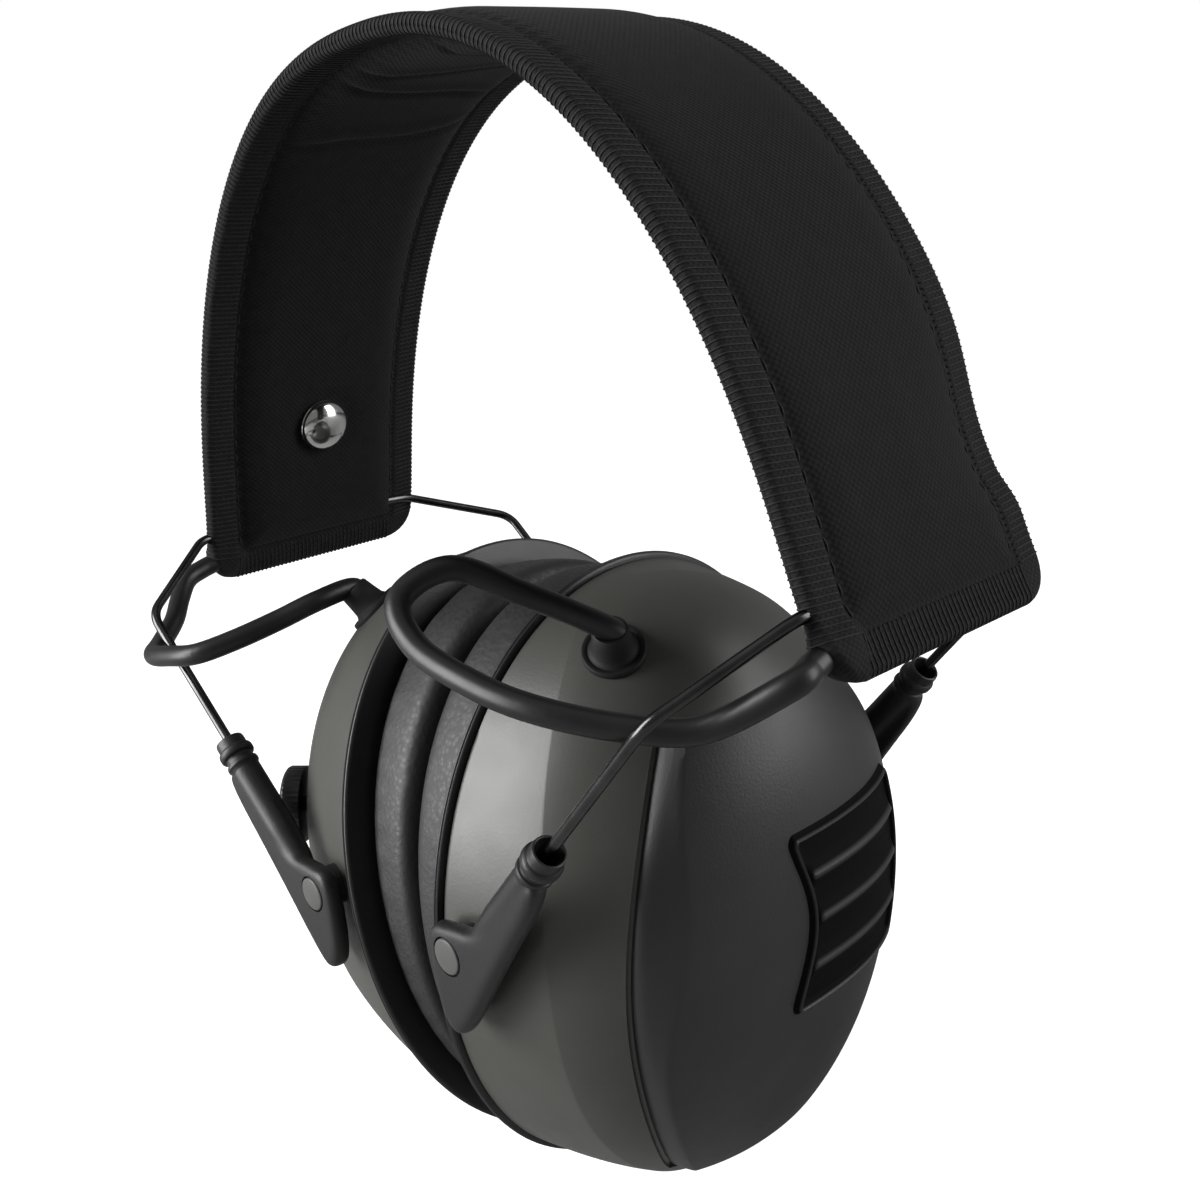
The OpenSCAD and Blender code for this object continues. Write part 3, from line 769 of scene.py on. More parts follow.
def headband_insides():
    reach = ARCH.length
    band_strip("headband_foam", -BAND_HALF + 1.3, -1.0, LEAF_W + 8, reach - 42, foam(),
               ("headband_pad_left", "headband_pad_right"), 0.15)
    band_strip("spring_leaf", 0.3, 1.1, LEAF_W, reach - 18, spring_steel(),
               ("spring_leaf_left", "spring_leaf_right"))
    u = np.linspace(-reach + 17, reach - 17, 201)
    path = ARCH.place(u, np.full(len(u), -LEAF_W / 2 - 2.6), 0.9)
    obj = piece("headband_inner_cable", *tube(path, 1.2, 14), cable_rubber(), sharp=0)
    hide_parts("headband_cable_left", "headband_cable_right")
    band_blend(obj)


def snap_rivet(word, side):
    u = np.array([ARCH.u_at_height(SNAP_Z)])
    centre = ARCH.place(u, np.zeros(1), 0)[0]
    n = ARCH.normal(u)[0]
    face = BAND_HALF + 0.1
    a = np.radians(np.linspace(0, 88, 20))
    dome = [(0.97 * SNAP_R * math.cos(t), face + 0.4 + 2.5 * math.sin(t)) for t in a]
    profile = [(1.5, -1.4), (1.5, face - 0.3), (SNAP_R - 0.3, face - 0.3), (SNAP_R, face - 0.1),
               (SNAP_R + 0.02, face + 0.1), (SNAP_R - 0.08, face + 0.3)] + dome
    points, faces = lathe(profile, 72)
    points = along(points, centre, (-n[0], 0, -n[1]), (0, 1, 0))
    obj = piece(f"snap_rivet_dome_{word}", points, faces, snap_chrome(), side)
    mount(obj, f"band_{word}", "snap_chrome", f"snap_rivet_{word}")


# ---------- wire bails ----------


def bar_x():
    return ARCH.at(np.array([ARCH.u_at_height(BAR_Z)]))[0][0]


def bail_clip(word, side):
    """The rolled steel eye round the crossbar, and the tongue riveted to the leaf."""
    x, half = bar_x(), LEAF_W / 2
    curl = np.radians(np.linspace(120, 440, 30))
    ribbon = [(x + 1.35 * math.cos(a), BAR_Z + 1.35 * math.sin(a)) for a in curl]
    u = np.linspace(ARCH.u_at_height(BAR_Z + 3), ARCH.u_at_height(36), 26)
    tongue = ARCH.place(u, np.zeros(len(u)), -0.25)
    line = np.vstack([np.array(ribbon)[::-1], tongue[:, [0, 2]]])[::-1]
    ahead = np.gradient(line, axis=0)
    normal = np.stack([-ahead[:, 1], ahead[:, 0]], 1) / np.linalg.norm(ahead, axis=1)[:, None]
    across = np.array([-1, -0.97, -0.5, 0, 0.5, 0.97, 1]) * half
    points = []
    for q, n in zip(line, normal):
        for off, row in ((0.28, across), (-0.28, across[::-1])):
            points += [(q[0] + off * n[0], y, q[1] + off * n[1]) for y in row]
    k = 2 * len(across)
    faces = grid(len(line), k, wrap_v=True) + end_caps(len(line), k)
    obj = piece(f"clip_{word}", points, faces, spring_steel(), side, sharp=40)
    mount(obj, f"band_{word}", "spring_steel", f"bail_clip_{word}")


def wire_bail(word, side):
    x = bar_x()
    start = np.array([x, 0, BAR_Z])
    leg_end = MOUTH + LEG_DIR * LEG_IN

    def half(corner):
        return np.vstack([
            [start], rounded_corner(start, corner, BEND, 2.0), rounded_corner(corner, BEND, leg_end, 3.0),
            [BEND + LEG_DIR * 12], [leg_end - LEG_DIR * 0.4],
        ])

    front = half(np.array([x, EXIT_Y, BAR_Z]))
    rear = half(np.array([x - 0.9, EXIT_Y - 3.4, BAR_Z - 1.4]))
    path = np.vstack([front[:0:-1] * [1, -1, 1], rear])
    obj = piece(f"bail_wire_{word}", *tube(path, WIRE_R, 20), bail_steel(), side, sharp=50)
    mount(obj, f"bail_{word}", "bail_steel", f"wire_bail_{word}")


# ---------- arms ----------

ARM_OUTLINE = ((14.4, -39.9), (13.9, -47), (14.6, -56.0), (18.3, -59.0), (22.2, -55.4),
               (31.2, -43.5), (44.0, -28.0), (40.4, -26.2), (31.6, -34.4), (26.4, -38.9), (20, -39.4))


def chaikin(points, times=3):
    p = np.array(points, float)
    for _ in range(times):
        q = np.roll(p, -1, 0)
        p = np.stack([0.75 * p + 0.25 * q, 0.25 * p + 0.75 * q], 1).reshape(-1, 2)
    return p


def plate(outline, y0, y1, rounding):
    """A plate with rounded edges between two heights."""
    p = chaikin(outline)
    ahead = np.roll(p, -1, 0) - np.roll(p, 1, 0)
    normal = np.stack([ahead[:, 1], -ahead[:, 0]], 1)
    normal /= np.linalg.norm(normal, axis=1)[:, None]
    area = np.sum(p[:, 0] * np.roll(p[:, 1], -1) - np.roll(p[:, 0], -1) * p[:, 1])
    inward = normal * (-1 if area > 0 else 1)
    loops = []
    for a in np.radians(np.linspace(90, 0, 6)):
        loops.append((rounding * (1 - math.cos(a)), y1 - rounding + rounding * math.sin(a)))
    loops += [(0.0, y0 + 0.4), (0.4, y0)]
    points = np.concatenate([np.stack([q[:, 0], np.full(len(q), y), q[:, 1]], 1)
                             for inset, y in loops for q in [p + inward * inset]])
    return points, grid(len(loops), len(p), wrap_v=True) + end_caps(len(loops), len(p))


def arm(word, side, place, face):
    """The arm: a socket for the wire leg that flattens into a plate held by the cup's pin."""
    flip = np.array([1, face, 1])
    pin = cup_to_band(PIVOT)[0]
    finish = arm_plastic()
    sleeve = lathe([(TUBE_R - 0.1, 5.5), (TUBE_R, 6.2), (TUBE_R, 20), (TUBE_R - 0.4, 26), (TUBE_R - 1.3, 31),
                    (0.4, 33)], 40)
    points, faces = joined([plate(ARM_OUTLINE, PLATE_Y, PLATE_Y + PLATE_T, 1.3),
                            (along(sleeve[0], MOUTH, LEG_DIR), sleeve[1])])
    obj = piece(f"arm_{place}_body_{word}", points * flip, faces, finish, side)
    remesh = obj.modifiers.new("remesh", "REMESH")
    remesh.mode, remesh.voxel_size = "VOXEL", 0.42 * MM
    soften = obj.modifiers.new("soften", "SMOOTH")
    soften.factor, soften.iterations = 0.5, 14
    bake(obj)
    seat = (pin[0], PLATE_Y + PLATE_T, pin[2])
    head = lathe([(PIN_R + 0.25, -0.95), (PIN_R + 0.25, 3)], 48)
    cut(obj, along(head[0], seat, (0, 1, 0)) * flip, head[1], side)
    bore = lathe([(WIRE_R + 0.1, 4), (WIRE_R + 0.1, LEG_IN + 23.5)], 24)
    cut(obj, along(bore[0], MOUTH, LEG_DIR) * flip, bore[1], side)
    smooth_shading(obj.data, 38)
    mount(obj, f"arms_{word}", "arm_plastic", f"arm_{place}_{word}")

    cap = lathe([
        (WIRE_R + 0.1, 3.2), (1.5, 2.4), (2.05, 0.5), (2.2, 0.08), (2.35, 0), (2.55, 0.1), (TUBE_R, 0.5),
        (TUBE_R, 1.7), (TUBE_R + 0.05, 1.95), (BEAD_R - 0.12, 2.2), (BEAD_R, 2.5), (BEAD_R + 0.03, 2.95),
        (BEAD_R, 3.4), (BEAD_R - 0.14, 3.65), (TUBE_R - 0.1, 3.85), (TUBE_R - 0.18, 4.3), (TUBE_R - 0.1, 4.8),
        (TUBE_R + 0.2, 5.0), (TUBE_R + 0.3, 5.35), (TUBE_R + 0.28, 5.7), (TUBE_R + 0.02, 6.0),
        (TUBE_R - 0.1, 7), (WIRE_R + 0.1, 7),
    ], 56, bored=True)
    sock = piece(f"arm_{place}_socket_{word}", along(cap[0], MOUTH, LEG_DIR) * flip, cap[1], finish, side)
    mount(sock, f"arms_{word}", "arm_plastic")

    a = np.radians(np.linspace(0, 86, 8))
    shank = [(1.9, -6.5), (1.9, -1.0), (PIN_R - 0.05, -0.9), (PIN_R - 0.05, -0.15)]
    edge = [(PIN_R - 0.35 + 0.3 * math.cos(t), -0.15 + 0.35 * math.sin(t)) for t in a]
    button = lathe(shank + edge + [(1.0, 0.26), (0.2, 0.28)], 56)
    points = along(button[0], seat, (0, 1, 0)) * flip
    pinhead = piece(f"pin_{place}_{word}", points, button[1], pin_plastic(), side)
    return pinhead


def arms(word, side):
    front = arm(word, side, "front", -1)
    rear = arm(word, side, "rear", 1)
    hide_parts(f"pivot_pins_{word}")
    for pin in (front, rear):
        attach(pin, f"arms_{word}")


# ---------- ear cups ----------


def ring_outline(a, b, n):
    q = np.linspace(0, 2 * np.pi, n, endpoint=False)
    e = 2 / RING_P
    c, s = np.cos(q), np.sin(q)
    return np.stack([a * np.sign(c) * np.abs(c) ** e, b * np.sign(s) * np.abs(s) ** e], 1)


def skin_x(y, z, e=0.0):
    rho = ((np.abs(y) / (CUP_RY + e)) ** RING_P + (np.abs(z) / (CUP_RZ + e)) ** RING_P) ** (1 / RING_P)
    return (CUP_D + e) * np.maximum(1 - np.minimum(rho, 1) ** DOME_P, 0) ** (1 / DOME_P)


def skin(y, z, e=0.0):
    y, z = np.asarray(y, float), np.asarray(z, float)
    return np.stack([skin_x(y, z, e), y, z], -1)


def skin_normal(y, z):
    h = 0.5
    return unit(np.cross(skin(y + h, z) - skin(y - h, z), skin(y, z + h) - skin(y, z - h)))


CREASE_TOP, CREASE_DEEP = 8, 21.3  # where the crease is shallowest, and its depth round the sides


def crease_x(y, z):
    """Depth of the crease between the shell's side wall and its dome, for each direction."""
    turn = np.degrees(np.arctan2(-y, z)) - CREASE_TOP
    turn = np.abs((turn + 180) % 360 - 180)
    return CREASE_DEEP * np.tanh((turn + 5.5) / 46)


def shell(word, side):
    n = 200
    ring = ring_outline(CUP_RY, CUP_RZ, n)
    xc = crease_x(ring[:, 0], ring[:, 1])
    rho_c = (1 - (xc / CUP_D) ** DOME_P) ** (1 / DOME_P)
    outer = [(np.full(n, 0.988), np.zeros(n)), (np.full(n, 0.996), np.full(n, 0.25))]
    for m in (0.03, 0.06, 0.15, 0.25, 0.35, 0.45, 0.55, 0.65, 0.75, 0.85, 0.93, 0.975, 1.0):
        x = np.maximum(xc * m, 0.45)
        chord = 1 + (rho_c - 1) * m
        full = (1 - (x / CUP_D) ** DOME_P) ** (1 / DOME_P)
        outer.append((chord + 0.3 * (full - chord), x))
    for w in np.concatenate([[0.012, 0.03, 0.06], np.linspace(0.1, 0.995, 34)]):
        rho = rho_c * np.cos(w * np.pi / 2) ** 0.9
        outer.append((rho, CUP_D * (1 - rho ** DOME_P) ** (1 / DOME_P)))
    rows = [np.stack([x, ring[:, 0] * rho, ring[:, 1] * rho], 1) for rho, x in outer]
    inner = []
    for w in np.linspace(0.99, 0, 18):
        rho = math.cos(w * math.pi / 2)
        k = np.array([(CUP_RY - WALL) / CUP_RY, (CUP_RZ - WALL) / CUP_RZ])
        x = (CUP_D - WALL) * (1 - rho ** DOME_P) ** (1 / DOME_P)
        inner.append(np.column_stack([np.full(n, x), ring * rho * k]))
    points = cup_to_band(np.concatenate(rows + inner))
    count = len(rows) + len(inner)
    faces = [f for f in grid(count, n, wrap_u=True, wrap_v=True) if not (
        (len(rows) - 1) * n <= f[0] < len(rows) * n)]
    faces += [tuple(range(k * n, (k + 1) * n)) for k in (len(rows) - 1, len(rows))]
    obj = piece(f"shell_{word}", points, faces, shell_plastic(), side, sharp=0)
    hole, n_hole = hole_place()
    well = lathe([(CABLE_R + 2.1, -7), (CABLE_R + 2.1, 6)], 56)
    cut(obj, along(well[0], hole, n_hole), well[1], side)
    z = np.linspace(-41.5, 39.5, 90)
    groove = tube(cup_to_band(skin(cover_front(z) - 0.55, z, 0.12)), 0.85, 14)
    cut(obj, *groove, side)
    if side < 0:
        jack = lathe([(4.05, -6), (4.05, 9)], 48)
        cut(obj, along(jack[0], jack_place(), (0, 0, 1), (1, 0, 0)), jack[1], side)
    smooth_shading(obj.data, 40)
    mount(obj, f"cup_{word}", "shell_plastic", f"cup_shell_{word}")


def hole_place():
    return cup_to_band(skin(*HOLE_AT))[0], cup_dir(skin_normal(*HOLE_AT))


def jack_place():
    low = -CUP_RZ * (1 - (JACK_X / CUP_D) ** DOME_P) ** (1 / DOME_P)
    return cup_to_band([JACK_X, 0, low])[0]


def ring_piece(name, profile, finish, side, n=176):
    """A closed ring; each profile point is a share from the ear opening to the rim's outline,
    an outward growth, and a depth."""
    ear, rim = ring_outline(EAR_RY, EAR_RZ, n), ring_outline(CUP_RY, CUP_RZ, n)
    out = rim / np.linalg.norm(rim, axis=1)[:, None]
    rows = []
    for share, grow, x in profile:
        p = ear * (1 - share) + rim * share + out * grow
        rows.append(np.column_stack([np.full(n, x), p]))
    faces = grid(len(profile), n, wrap_u=True, wrap_v=True)
    return piece(name, cup_to_band(np.concatenate(rows)), faces, finish, side, sharp=50)


def rim(word, side):
    g = LIP_OUT
    opening = [(0, 0, -0.3), (0, 0, -1.2), (0, 0.3, -LIP_T), (0.8, 0, -LIP_T)]
    lower_bead = [(1, g - 0.7, -LIP_T), (1, g - 0.35, -1.44), (1, g - 0.08, -1.24), (1, g, -1.02),
                  (1, g - 0.1, -0.84)]
    upper_bead = [(1, g - 0.28, -0.76), (1, g - 0.12, -0.66), (1, g, -0.5), (1, g - 0.06, -0.3),
                  (1, g - 0.25, -0.14)]
    top = [(1, g - 0.6, -0.06), (1, -1.5, -0.05), (1, -3, -0.05), (0, 0.3, -0.05)]
    profile = opening + lower_bead + upper_bead + top
    obj = ring_piece(f"rim_{word}", profile, rim_plastic(), side)
    mount(obj, f"cup_{word}", "rim_plastic", f"cup_rim_{word}")


def cushion(word, side):
    """A foam-filled vinyl ring: inflated as cloth, pressed flat where the two cups meet, then sewn."""
    n, k = 132, 28
    inner = ring_outline(EAR_RY, EAR_RZ, n)
    outer = ring_outline(CUP_RY - CUSHION_IN, CUP_RZ - CUSHION_IN, n)
    phi = np.linspace(0, 2 * np.pi, k, endpoint=False)
    points = []
    for i in range(n):
        z = (inner[i, 1] + outer[i, 1]) / 2
        face_x = (RIM_X + z * math.sin(SPLAY) - MEET_X) / math.cos(SPLAY)
        for p in phi:
            across = 0.5 + 0.5 * np.sign(math.cos(p)) * abs(math.cos(p)) ** 0.5
            deep = 0.5 + 0.5 * np.sign(math.sin(p)) * abs(math.sin(p)) ** 0.45
            place = inner[i] * (1 - across) + outer[i] * across
            top = -LIP_T - 0.05
            bottom = -face_x
            points.append([top + (bottom - top) * (1 - deep), place[0], place[1]])
    points = np.array(points)
    held = np.nonzero(points[:, 0] > -LIP_T - 0.6)[0]
    faces = grid(n, k, wrap_u=True, wrap_v=True)
    obj = piece(f"cushion_{word}", cup_to_band(points), faces, vinyl(), side, sharp=0)
    puff(obj, held, 4.0, 2.2 * MM)
    sub = obj.modifiers.new("fine", "SUBSURF")
    sub.levels = sub.render_levels = 2
    bake(obj)
    finish_cushion(obj, side)
    mount(obj, f"cup_{word}", "cushion_vinyl", f"ear_cushion_{word}")
    return obj


def finish_cushion(obj, side):
    """Seam, soft creases and the flat face, worked in the cup's own frame."""
    p = coords(obj.data) / MM
    band = np.stack([side * p[:, 0], p[:, 1] - MID_Y, p[:, 2] - SEAT_Z], 1)
    c, s = math.cos(SPLAY), math.sin(SPLAY)
    dx, dz = band[:, 0] - RIM_X, band[:, 2] - CUP_Z
    x, z, y = dx * c - dz * s, dx * s + dz * c, band[:, 1]
    reach = np.hypot(y / (CUP_RY - CUSHION_IN), z / (CUP_RZ - CUSHION_IN))
    turn = np.arctan2(z, y)
    depth = -x
    outside = smoothstep((reach - 0.9) / 0.08)
    seam = np.exp(-(((depth - 3.6) / 0.45) ** 2)) * outside
    crease = 0.07 * np.sin(46 * turn + 2 * np.sin(5 * turn)) * np.exp(-(((depth - 5.2) / 1.8) ** 2)) * outside
    inside = smoothstep((0.8 - reach) / 0.12)
    gather = 0.22 * np.sin(38 * turn + 1.5 * np.sin(7 * turn)) * inside * smoothstep((depth - 4) / 3)
    radial = np.stack([np.cos(turn), np.sin(turn)], 1)
    move = -0.55 * seam + crease + gather
    y, z = y + radial[:, 0] * move, z + radial[:, 1] * move
    x = np.minimum(x, -LIP_T - 0.02)
    band = cup_to_band(np.stack([x, y, z], 1))
    floor_x = MEET_X + 0.1 * noise3(band, 0.12, 3)
    low = band[:, 0] < floor_x
    band[low, 0] = floor_x[low]
    obj.data.vertices.foreach_set("co", to_row(band, side).ravel())
    obj.data.update()


def cover_front(z):
    """The cover's curved front border, where a dark groove runs."""
    v = np.clip((z + 43) / 84, 0, 1)
    return -15 - 15.2 * np.sin(np.pi * v) ** 0.72


def cover_rear(z):
    return 33.5 * np.sqrt(np.maximum(1 - (np.abs(z + 1) / 47) ** 2.2, 0.02))


def crescent(z):
    """Width of the bevelled crescent inside the front border."""
    return 1.2 + 4.6 * np.exp(-(((z - 9) / 16) ** 2))


def patch(name, place, height, nu, nv, low, finish, side, sharp):
    """A closed skin over the dome: place(u, v) gives y and z, height(u, v, y, z) its growth."""
    u, v = np.meshgrid(nu, nv, indexing="ij")
    y, z = place(u, v)
    top = skin(y, z, height(u, v, y, z)).reshape(-1, 3)
    under = skin(y, z, low).reshape(-1, 3)
    a, b = len(nu), len(nv)
    base = len(top)
    faces = grid(a, b) + grid(a, b, base=base)
    border = [i * b for i in range(a)] + [(a - 1) * b + j for j in range(1, b)]
    border += [i * b + b - 1 for i in range(a - 2, -1, -1)] + [j for j in range(b - 2, 0, -1)]
    for i, p in enumerate(border):
        q = border[(i + 1) % len(border)]
        faces.append((p, q, q + base, p + base))
    return piece(name, cup_to_band(np.concatenate([top, under])), faces, finish, side, sharp=sharp)


def eased(n, edge=0.06, fine=5):
    """Parameters from 0 to 1 with extra rows beside both ends."""
    ends = edge * np.linspace(0, 1, fine, endpoint=False) ** 1.6
    return np.concatenate([ends, np.linspace(edge, 1 - edge, n), 1 - ends[::-1]])


def outer_cover(word, side):
    def place(u, v):
        z = -41 + 80 * v
        front, rear = cover_front(z), cover_rear(z)
        return front + (rear - front) * u, z

    def height(u, v, y, z):
        front, rear = cover_front(z), cover_rear(z)
        d = y - front
        edge = np.minimum(np.minimum(d, rear - y), np.minimum((z + 41), (39 - z)))
        lip = rolled(edge, 0.9)
        ramp = np.clip(d / crescent(z), 0, 1)
        return -0.6 + 0.95 * lip + 1.6 * ramp * lip

    front_fine = np.concatenate([[0, 0.004, 0.008, 0.014, 0.02, 0.028], np.linspace(0.036, 0.15, 14)])
    nu = np.concatenate([front_fine, np.linspace(0.165, 0.965, 46), [0.975, 0.983, 0.99, 0.996, 1]])
    obj = patch(f"cover_{word}", place, height, nu, eased(90, 0.03, 6), -1.0, cover_plastic(), side, 32)
    mount(obj, f"cup_{word}", "cover_plastic", f"outer_cover_{word}")


def grip(word, side):
    """The ribbed rubber insert, with a raised outline and a waisted front edge."""
    bottom, top, ribs = -11.5, 19, 4

    def place(u, v):
        z = bottom + (top - bottom) * v + 1.3 * (1 - u) * (v - 0.5)
        inset = 2.4 - np.minimum((top - bottom) * np.minimum(v, 1 - v), 2.4)
        corner = 2.4 - np.sqrt(2.4 ** 2 - inset ** 2)
        front = -5.2 + 4.2 * np.sin(np.pi * v) ** 1.5 + corner
        rear = 27.5 + 2.6 * np.sin(np.pi * v) - corner
        return front + (rear - front) * u, z - 1.6 * u * (1 - v) + 0.6 * u * v

    def height(u, v, y, z):
        across = (top - bottom) * np.minimum(v, 1 - v)
        along_front = 31 * u
        along_rear = 31 * (1 - u)
        d = np.minimum(across, np.minimum(along_front, along_rear))
        lip = rolled(d, 0.5)
        frame_ridge = np.exp(-(((d - 1.1) / 0.5) ** 2))
        inside = smoothstep((d - 1.6) / 1.0)
        beat = (ribs * v) % 1.0
        crest = np.maximum(1 - np.minimum(beat, 1 - beat) / 0.36, 0) ** 1.3
        crests = np.maximum(frame_ridge, inside * crest)
        heights["crest"] = crests
        return 1.5 + 0.55 * lip + 0.95 * crests

    heights = {}
    nu, nv = eased(44, 0.06, 8), eased(104, 0.05, 9)
    obj = patch(f"grip_{word}", place, height, nu, nv, 0.9, grip_rubber(), side, 45)
    # The crest values drive the rubber's painted shade in the valleys and its painted highlight on the
    # crests.
    crest = obj.data.attributes.new("crest", "FLOAT", "POINT")
    crest.data.foreach_set("value", np.tile(heights["crest"].ravel(), 2).astype(np.float32))
    mount(obj, f"cup_{word}", "grip_rubber", f"grip_insert_{word}")


def bushes(word, side):
    """Flanged bushes between the arm plates and the shell."""
    pin = cup_to_band(PIVOT)[0]
    profile = [(2.05, -5.6), (4.4, -5.6), (4.5, -5.45), (4.5, -5.1), (3.6, -5.05), (3.5, -4.9), (3.5, -0.3),
               (3.3, -0.1), (2.05, -0.1)]
    parts = []
    points, faces = lathe(profile, 48, bored=True)
    for face in (-1, 1):
        parts.append((along(points, (pin[0], PLATE_Y - 0.15, pin[2]), (0, 1, 0)) * [1, face, 1], faces))
    points, faces = joined(parts)
    obj = piece(f"bush_pair_{word}", points, faces, rim_plastic(), side)
    mount(obj, f"cup_{word}", "rim_plastic", f"pivot_bushes_{word}")


def grommet(word, side):
    """A rubber ring round the cable's hole, with a short sleeve on the far cup."""
    hole, n = hole_place()
    r0 = CABLE_R + 0.12
    neck = [(r0, 5.2), (r0 + 0.5, 5.35), (r0 + 0.8, 5.0), (r0 + 1.0, 3.0), (r0 + 1.25, 1.2), (r0 + 1.7, 0.5)]
    profile = neck + [(r0 + 2.0, 0.35), (r0 + 2.4, 0.55), (r0 + 2.8, 0.5), (r0 + 3.0, 0.2), (r0 + 3.05, -0.3),
                      (r0 + 2.9, -0.9), (r0 + 1.9, -1.0), (r0 + 1.85, -4), (r0, -4)]
    points, faces = lathe(profile, 64, bored=True)
    obj = piece(f"grommet_{word}", along(points, hole, n), faces, grommet_rubber(), side)
    mount(obj, f"cup_{word}", "cable_rubber", f"cable_grommet_{word}")


def link_cable(word, side):
    """The link cable in three lengths."""
    hole, n = hole_place()
    x = bar_x()
    hem_in, hem_out, hem_far = (x + 1.4, -23.5, 4.2), (x + 1.7, -26.5, 3.5), (x + 1.2, -30.5, 2.2)
    start, root, free = hole - n * 3, hole + n * 2.8, hole + n * 5.5
    if side > 0:
        loop = [(30, -31, 9.6), (26, -40, 15.2), (24, -48, 12.5), (30, -50.5, 7.2), (42, -50.5, 3.4),
                (51.5, -48.3, 0.8), (60, -42.1, -2.1), (68, -36, -3)]
        marks = (5, 9)
    else:
        loop = [(35, -27, 1), (38, -33.5, -1.1), (40.5, -41, -2.9), (44.5, -47, -4.4), (52, -48.6, -5.3),
                (60, -48, -6.3), (66.5, -43.5, -6.2), (71, -38, -3.6), (75.2, -34, -0.6)]
        marks = (6, 9)
    way = [start, root, free, *loop, hem_far, hem_out, hem_in]
    step, sides = 12, 24
    points, faces = tube(spline(way, step), CABLE_R, sides, caps=False)
    a, b, last = marks[0] * step, marks[1] * step, len(points) // sides - 1
    spans = (("cup", (0, a), (f"cup_{word}", f"arms_{word}"), (free, way[marks[0]])),
             ("arm", (a, b), (f"arms_{word}", f"bail_{word}"), (way[marks[0]], way[marks[1]])),
             ("band", (b, last), (f"bail_{word}", f"band_{word}"), (way[marks[1]], hem_out)))
    for label, (i, j), bodies, (p, q) in spans:
        rows = points[i * sides : (j + 1) * sides]
        skin_faces = grid(j - i + 1, sides, wrap_v=True) + end_caps(j - i + 1, sides)
        obj = piece(f"link_cable_{label}_{word}", rows, skin_faces, cable_rubber(), side, sharp=60)
        if label == "cup":
            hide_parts(f"link_cable_{word}")
        row_point(*p, side)
        row_point(*q, side)
        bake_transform(obj)


def volume_knob():
    """The knurled knob on the left cup."""
    n = cup_dir(skin_normal(*KNOB_AT))
    centre = cup_to_band(skin(*KNOB_AT))[0] + n * 0.5
    r, h = KNOB_R, KNOB_H
    profile = [(1.6, 0.3), (r - 0.5, 0), (r, 0.3), (r, h - 0.9), (r - 0.25, h - 0.4), (r - 0.75, h - 0.08),
               (r - 1.3, h), (r - 1.7, h - 0.1), (r - 2.1, h - 0.35), (2.5, h - 0.4), (0.3, h - 0.4)]
    points, faces = lathe(profile, 192, 0.06, 44)
    obj = piece("volume_dial", along(points, centre, n), faces, knob_plastic(), -1)
    mount(obj, "knob", "knob_plastic", "volume_knob")


def audio_jack():
    profile = [(1.8, 15), (1.8, -0.6), (2.0, -0.75), (2.9, -0.8), (3.1, -0.6), (3.3, -0.6), (3.9, -0.55),
               (4.0, -0.4), (4.0, 16.4), (0.5, 16.4), (0.5, 15)]
    points, faces = lathe(profile, 64)
    faces = faces[:-1]
    obj = piece("audio_socket", along(points, jack_place(), (0, 0, 1), (1, 0, 0)), faces, knob_plastic(), -1)
    mount(obj, "cup_left", "knob_plastic", "audio_jack")


def liner(word, side):
    """The foam disc over the speaker: a soft pad with rounded edges and a hole for the sound."""
    n = 120
    a, b = CUP_RY - 11, CUP_RZ - 19
    big = ring_outline(a, b, n)
    q = np.linspace(0, 2 * np.pi, n, endpoint=False)
    small = np.stack([np.cos(q), np.sin(q)], 1) * 6
    edge = [(0.0, 9.4), (0.0, 12.9), (0.03, 13.6), (0.9, 13.9), (0.97, 13.5), (1.0, 12.6), (1.0, 10.6)]
    face = [(0.97, 9.7), (0.9, 9.1), (0.75, 9.3), (0.6, 8.9), (0.45, 9.3), (0.3, 8.9), (0.15, 9.2),
            (0.04, 9.1)]
    profile = edge + face
    rows = []
    for share, x in profile:
        p = small * (1 - share) + big * share
        rows.append(np.column_stack([np.full(n, x), p]))
    faces = grid(len(profile), n, wrap_u=True, wrap_v=True)
    obj = piece(f"liner_{word}", cup_to_band(np.concatenate(rows)), faces, foam(), side, sharp=0)
    sub = obj.modifiers.new("fine", "SUBSURF")
    sub.levels = sub.render_levels = 1
    bake(obj)
    mount(obj, f"cup_{word}", "liner_foam", f"foam_liner_{word}")


def paint(node, finish):
    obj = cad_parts[node]
    if obj.material_slots:
        for s in obj.material_slots:
            s.material = finish
    else:
        obj.data.materials.append(finish)


def carried_over():
    """CAD nodes whose shape is already right: they get their real finish."""
    black, board, contact = speaker_plastic(), board_material(), contact_metal()
    for word in SIDES:
        paint(f"speaker_{word}", black)
        paint(f"microphone_{word}", contact)
        paint(f"circuit_board_{word}", board)
    paint("battery_cells", battery_wrap())
    paint("battery_contacts", contact)
    paint("volume_control", black)


# ---------- studio ----------


def floor():
    s = Shader("pale_floor", 0.9, 0.1)
    s.colour(s.mix(s.spread(s.noise(3, 2), 0.3, 0.7), (0.4, 0.4, 0.4), (0.42, 0.42, 0.42)))
    seen = s.node("ShaderNodeLightPath").outputs["Is Camera Ray"]
    s.bsdf.inputs["Emission Color"].default_value = (1, 1, 1, 1)
    s.link(s.math("MULTIPLY", seen, 0.97), s.bsdf.inputs["Emission Strength"])
    size = 30.0
    obj = piece("floor", [(-size, -size, 0), (size, -size, 0), (size, size, 0), (-size, size, 0)],
                [(0, 1, 2, 3)], s.material, sharp=0, band=False)


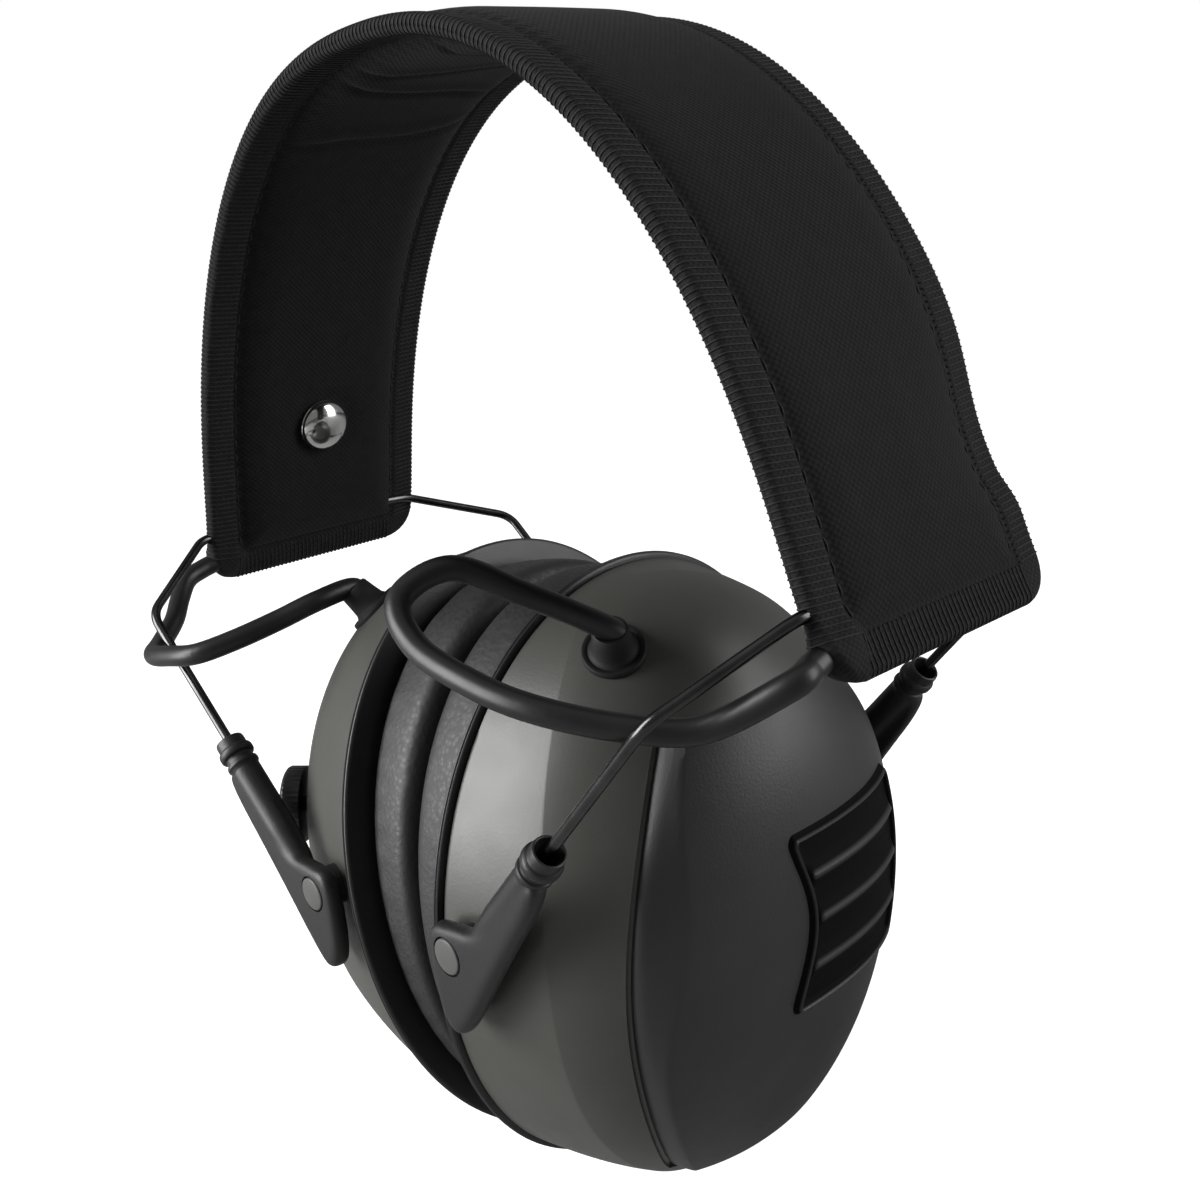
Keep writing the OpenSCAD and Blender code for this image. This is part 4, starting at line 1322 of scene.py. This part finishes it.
def softbox(name, azimuth, elevation, distance, size, energy):
    centre = Vector(row_point(0, 0, 0))
    a, e = math.radians(azimuth), math.radians(elevation)
    back = Vector((math.sin(a) * math.cos(e), -math.cos(a) * math.cos(e), math.sin(e)))
    data = bpy.data.lights.new(name, "AREA")
    data.shape, data.size, data.size_y, data.energy = "RECTANGLE", size[0], size[1], energy
    obj = bpy.data.objects.new(name, data)
    obj.location = centre + back * distance
    obj.rotation_euler = back.to_track_quat("Z", "Y").to_euler()
    bpy.context.scene.collection.objects.link(obj)


def lights():
    world = bpy.data.worlds.new("white_room")
    bpy.context.scene.world = world
    world.use_nodes = True
    tree = world.node_tree
    ground = tree.nodes["Background"]
    ground.inputs["Color"].default_value = (1, 1, 1, 1)
    path = tree.nodes.new("ShaderNodeLightPath")
    level = None
    for ray, strength in (("Is Camera Ray", 1.0), ("Is Diffuse Ray", 0.1), ("Is Glossy Ray", 0.24)):
        part = tree.nodes.new("ShaderNodeMath")
        part.operation = "MULTIPLY_ADD"
        part.inputs[1].default_value = strength
        part.inputs[2].default_value = 0.0
        tree.links.new(path.outputs[ray], part.inputs[0])
        if level:
            tree.links.new(level.outputs[0], part.inputs[2])
        level = part
    tree.links.new(level.outputs[0], ground.inputs["Strength"])
    softbox("key", -30, 12, 0.9, (0.5, 1.0), 22)
    softbox("top", 60, 78, 0.9, (0.9, 0.9), 0.7)
    softbox("rim_light", 128, 18, 1.0, (0.4, 0.9), 8)


AZIMUTH, ELEVATION, ROLL = 48.6, 13.755, -7.203
DISTANCE, LENS, SENSOR = 246.08, 42.1, 36.0
TARGET = (4.90, 5.53, -3.31)


def camera():
    a, e, roll = map(math.radians, (AZIMUTH, ELEVATION, ROLL))
    back = Vector((math.sin(a) * math.cos(e), -math.cos(a) * math.cos(e), math.sin(e)))
    level = Vector((math.cos(a), math.sin(a), 0))
    upright = back.cross(level)
    right = level * math.cos(roll) + upright * math.sin(roll)
    up = upright * math.cos(roll) - level * math.sin(roll)
    data = bpy.data.cameras.new("camera")
    data.lens, data.sensor_width = LENS, SENSOR
    data.clip_start = 0.01
    obj = bpy.data.objects.new("camera", data)
    turn = Matrix((right, up, back)).transposed()
    place = Vector(row_point(*TARGET)) + back * DISTANCE * MM
    obj.matrix_world = Matrix.Translation(place) @ turn.to_4x4()
    bpy.context.scene.collection.objects.link(obj)
    bpy.context.scene.camera = obj
    bpy.context.scene.view_settings.view_transform = "Standard"


# ---------- the whole object ----------

headband_sleeve()
headband_stitching()
headband_insides()
for word, side in SIDES.items():
    snap_rivet(word, side)
    bail_clip(word, side)
    wire_bail(word, side)
    arms(word, side)
    shell(word, side)
    rim(word, side)
    cushion(word, side)
    outer_cover(word, side)
    grip(word, side)
    bushes(word, side)
    grommet(word, side)
    link_cable(word, side)
    liner(word, side)
volume_knob()
audio_jack()
carried_over()
floor()
lights()
camera()
